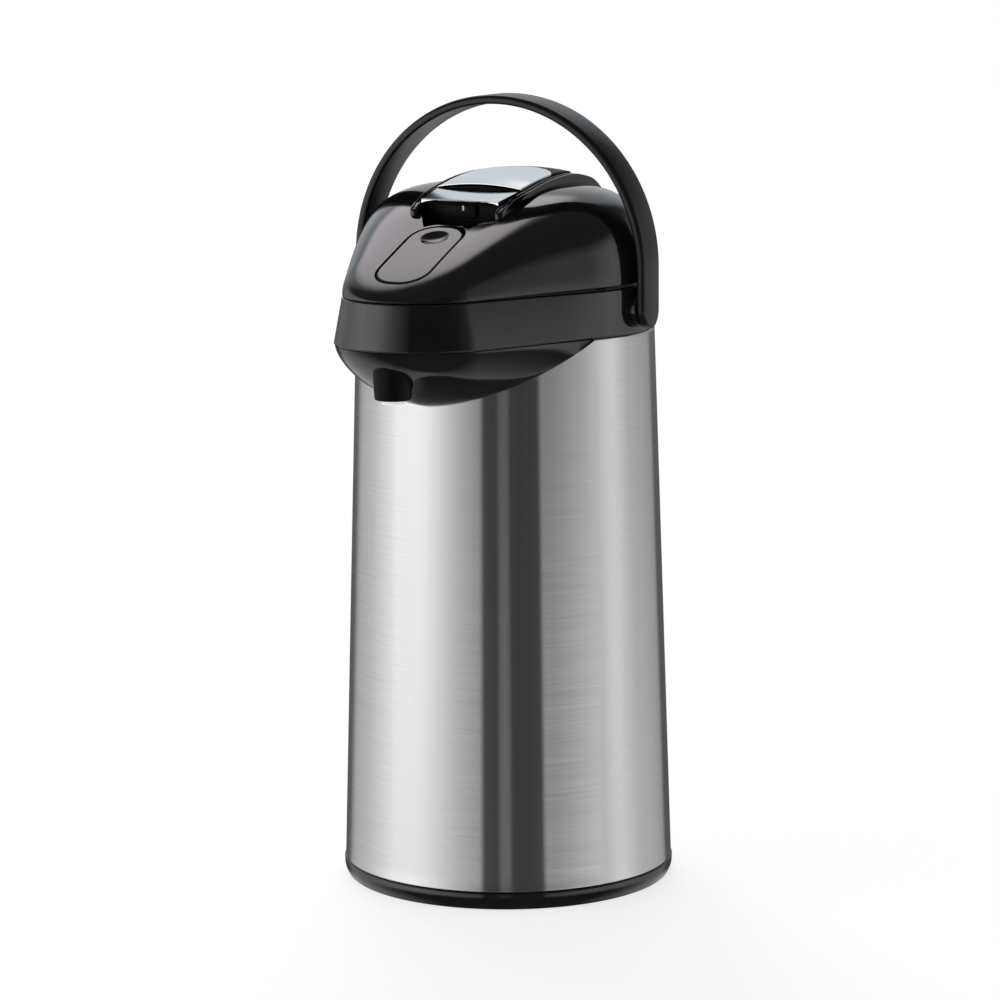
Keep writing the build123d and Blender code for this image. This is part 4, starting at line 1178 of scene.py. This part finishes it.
# The same a little higher up, where the black head reflects it
UPPER = [
    (0, 0.30), (28, 0.30), (40, 0.55), (62, 0.80), (90, 1.70), (115, 1.70), (140, 0.60), (155, 0.25),
    (163, 0.04), (204, 0.04), (225, 0.06), (243, 0.18), (256, 0.75), (272, 0.95), (286, 0.50), (310, 0.35),
    (360, 0.30),
]
# What the floor around the object sends up: dark in front, bright behind
GROUND = [(0, 0.70), (60, 0.70), (105, 0.06), (255, 0.06), (300, 0.70), (360, 0.70)]
# Softboxes: direction, cosines where each begins and is full, colour
SOFTBOXES = [
    ((-0.48, 0.70, 0.50), 0.82, 0.93, (0.66, 0.70, 0.73)),
    ((-0.49, 0.545, 0.68), 0.950, 0.992, (2.25, 2.1, 2.2)),
]


def make_world():
    """Studio surround: bright panels with dark gaps and softboxes by direction, plain white behind."""
    world = bpy.data.worlds.new("studio")
    bpy.context.scene.world = world
    world.use_nodes = True
    tree = world.node_tree
    tree.nodes.clear()
    coords = tree.nodes.new("ShaderNodeTexCoord").outputs["Generated"]
    parts = tree.nodes.new("ShaderNodeSeparateXYZ")
    tree.links.new(coords, parts.inputs[0])
    height = parts.outputs["Z"]
    ahead = math_node(tree, "MULTIPLY", parts.outputs["Y"], -1.0)
    turn = math_node(tree, "ARCTAN2", parts.outputs["X"], ahead)
    shifted = math_node(tree, "SUBTRACT", turn, CAMERA_AZIMUTH - math.pi)
    around = math_node(tree, "FRACT", math_node(tree, "DIVIDE", shifted, 2 * math.pi))
    low, high, ground = (ramp(tree, around, stops) for stops in (STUDIO, UPPER, GROUND))
    level = blend(tree, ranged(tree, height, -0.14, -0.01), low, high)
    level = blend(tree, ranged(tree, height, 0.22, 0.50), level, (OVERHEAD, OVERHEAD, OVERHEAD * 1.03))
    level = blend(tree, ranged(tree, height, -0.28, -0.42), level, ground)
    for direction, start, end, color in SOFTBOXES:
        dot = tree.nodes.new("ShaderNodeVectorMath")
        dot.operation = "DOT_PRODUCT"
        tree.links.new(coords, dot.inputs[0])
        dot.inputs[1].default_value = Vector(direction).normalized()
        level = blend(tree, ranged(tree, dot.outputs["Value"], start, end), level, color)
    chosen = tree.nodes.new("ShaderNodeMixShader")
    seen = tree.nodes.new("ShaderNodeLightPath").outputs["Is Camera Ray"]
    tree.links.new(seen, chosen.inputs["Fac"])
    for index, color in ((1, level), (2, (1.0, 1.0, 1.0))):
        background = tree.nodes.new("ShaderNodeBackground")
        feed(tree, background.inputs["Color"], color)
        tree.links.new(background.outputs[0], chosen.inputs[index])
    output = tree.nodes.new("ShaderNodeOutputWorld")
    tree.links.new(chosen.outputs[0], output.inputs["Surface"])


def math_node(tree, operation, first, second=0.0):
    """Math node; inputs are sockets or numbers."""
    node = tree.nodes.new("ShaderNodeMath")
    node.operation = operation
    for socket, value in zip(node.inputs, (first, second)):
        feed(tree, socket, value)
    return node.outputs[0]


def ranged(tree, source, start, end):
    """Smooth 0 to 1 between two values."""
    node = tree.nodes.new("ShaderNodeMapRange")
    node.interpolation_type = "SMOOTHSTEP"
    node.inputs["From Min"].default_value = start
    node.inputs["From Max"].default_value = end
    tree.links.new(source, node.inputs["Value"])
    return node.outputs["Result"]


def ramp(tree, turn, stops):
    """Level by direction, from (degrees, level) stops."""
    node = tree.nodes.new("ShaderNodeValToRGB")
    elements = node.color_ramp.elements
    node.color_ramp.interpolation = "LINEAR"
    while len(elements) > 1:
        elements.remove(elements[-1])
    for index, (degrees, level) in enumerate(stops):
        element = elements[0] if index == 0 else elements.new(degrees / 360.0)
        element.position = degrees / 360.0
        element.color = (level, level, level * 1.01, 1.0)
    tree.links.new(turn, node.inputs["Fac"])
    return node.outputs["Color"]


def make_floor():
    """Plain white floor, bright enough to run into the backdrop."""
    mesh = bpy.data.meshes.new("floor")
    size = 6.0
    corners = [(-size, -size, 0), (size, -size, 0), (size, size, 0), (-size, size, 0)]
    mesh.from_pydata(corners, [], [(0, 1, 2, 3)])
    floor = bpy.data.objects.new("floor", mesh)
    bpy.context.scene.collection.objects.link(floor)
    material = bpy.data.materials.new("floor_white")
    material.use_nodes = True
    node = material.node_tree.nodes["Principled BSDF"]
    node.inputs["Base Color"].default_value = (0.85, 0.85, 0.85, 1.0)
    node.inputs["Roughness"].default_value = 0.9
    node.inputs["Emission Color"].default_value = (1.0, 1.0, 1.0, 1.0)
    node.inputs["Emission Strength"].default_value = 0.76
    mesh.materials.append(material)
    floor.visible_glossy = False


make_camera()
dress_cad_nodes()
build_pieces()
make_floor()
make_world()
bpy.context.scene.view_settings.view_transform = "Standard"
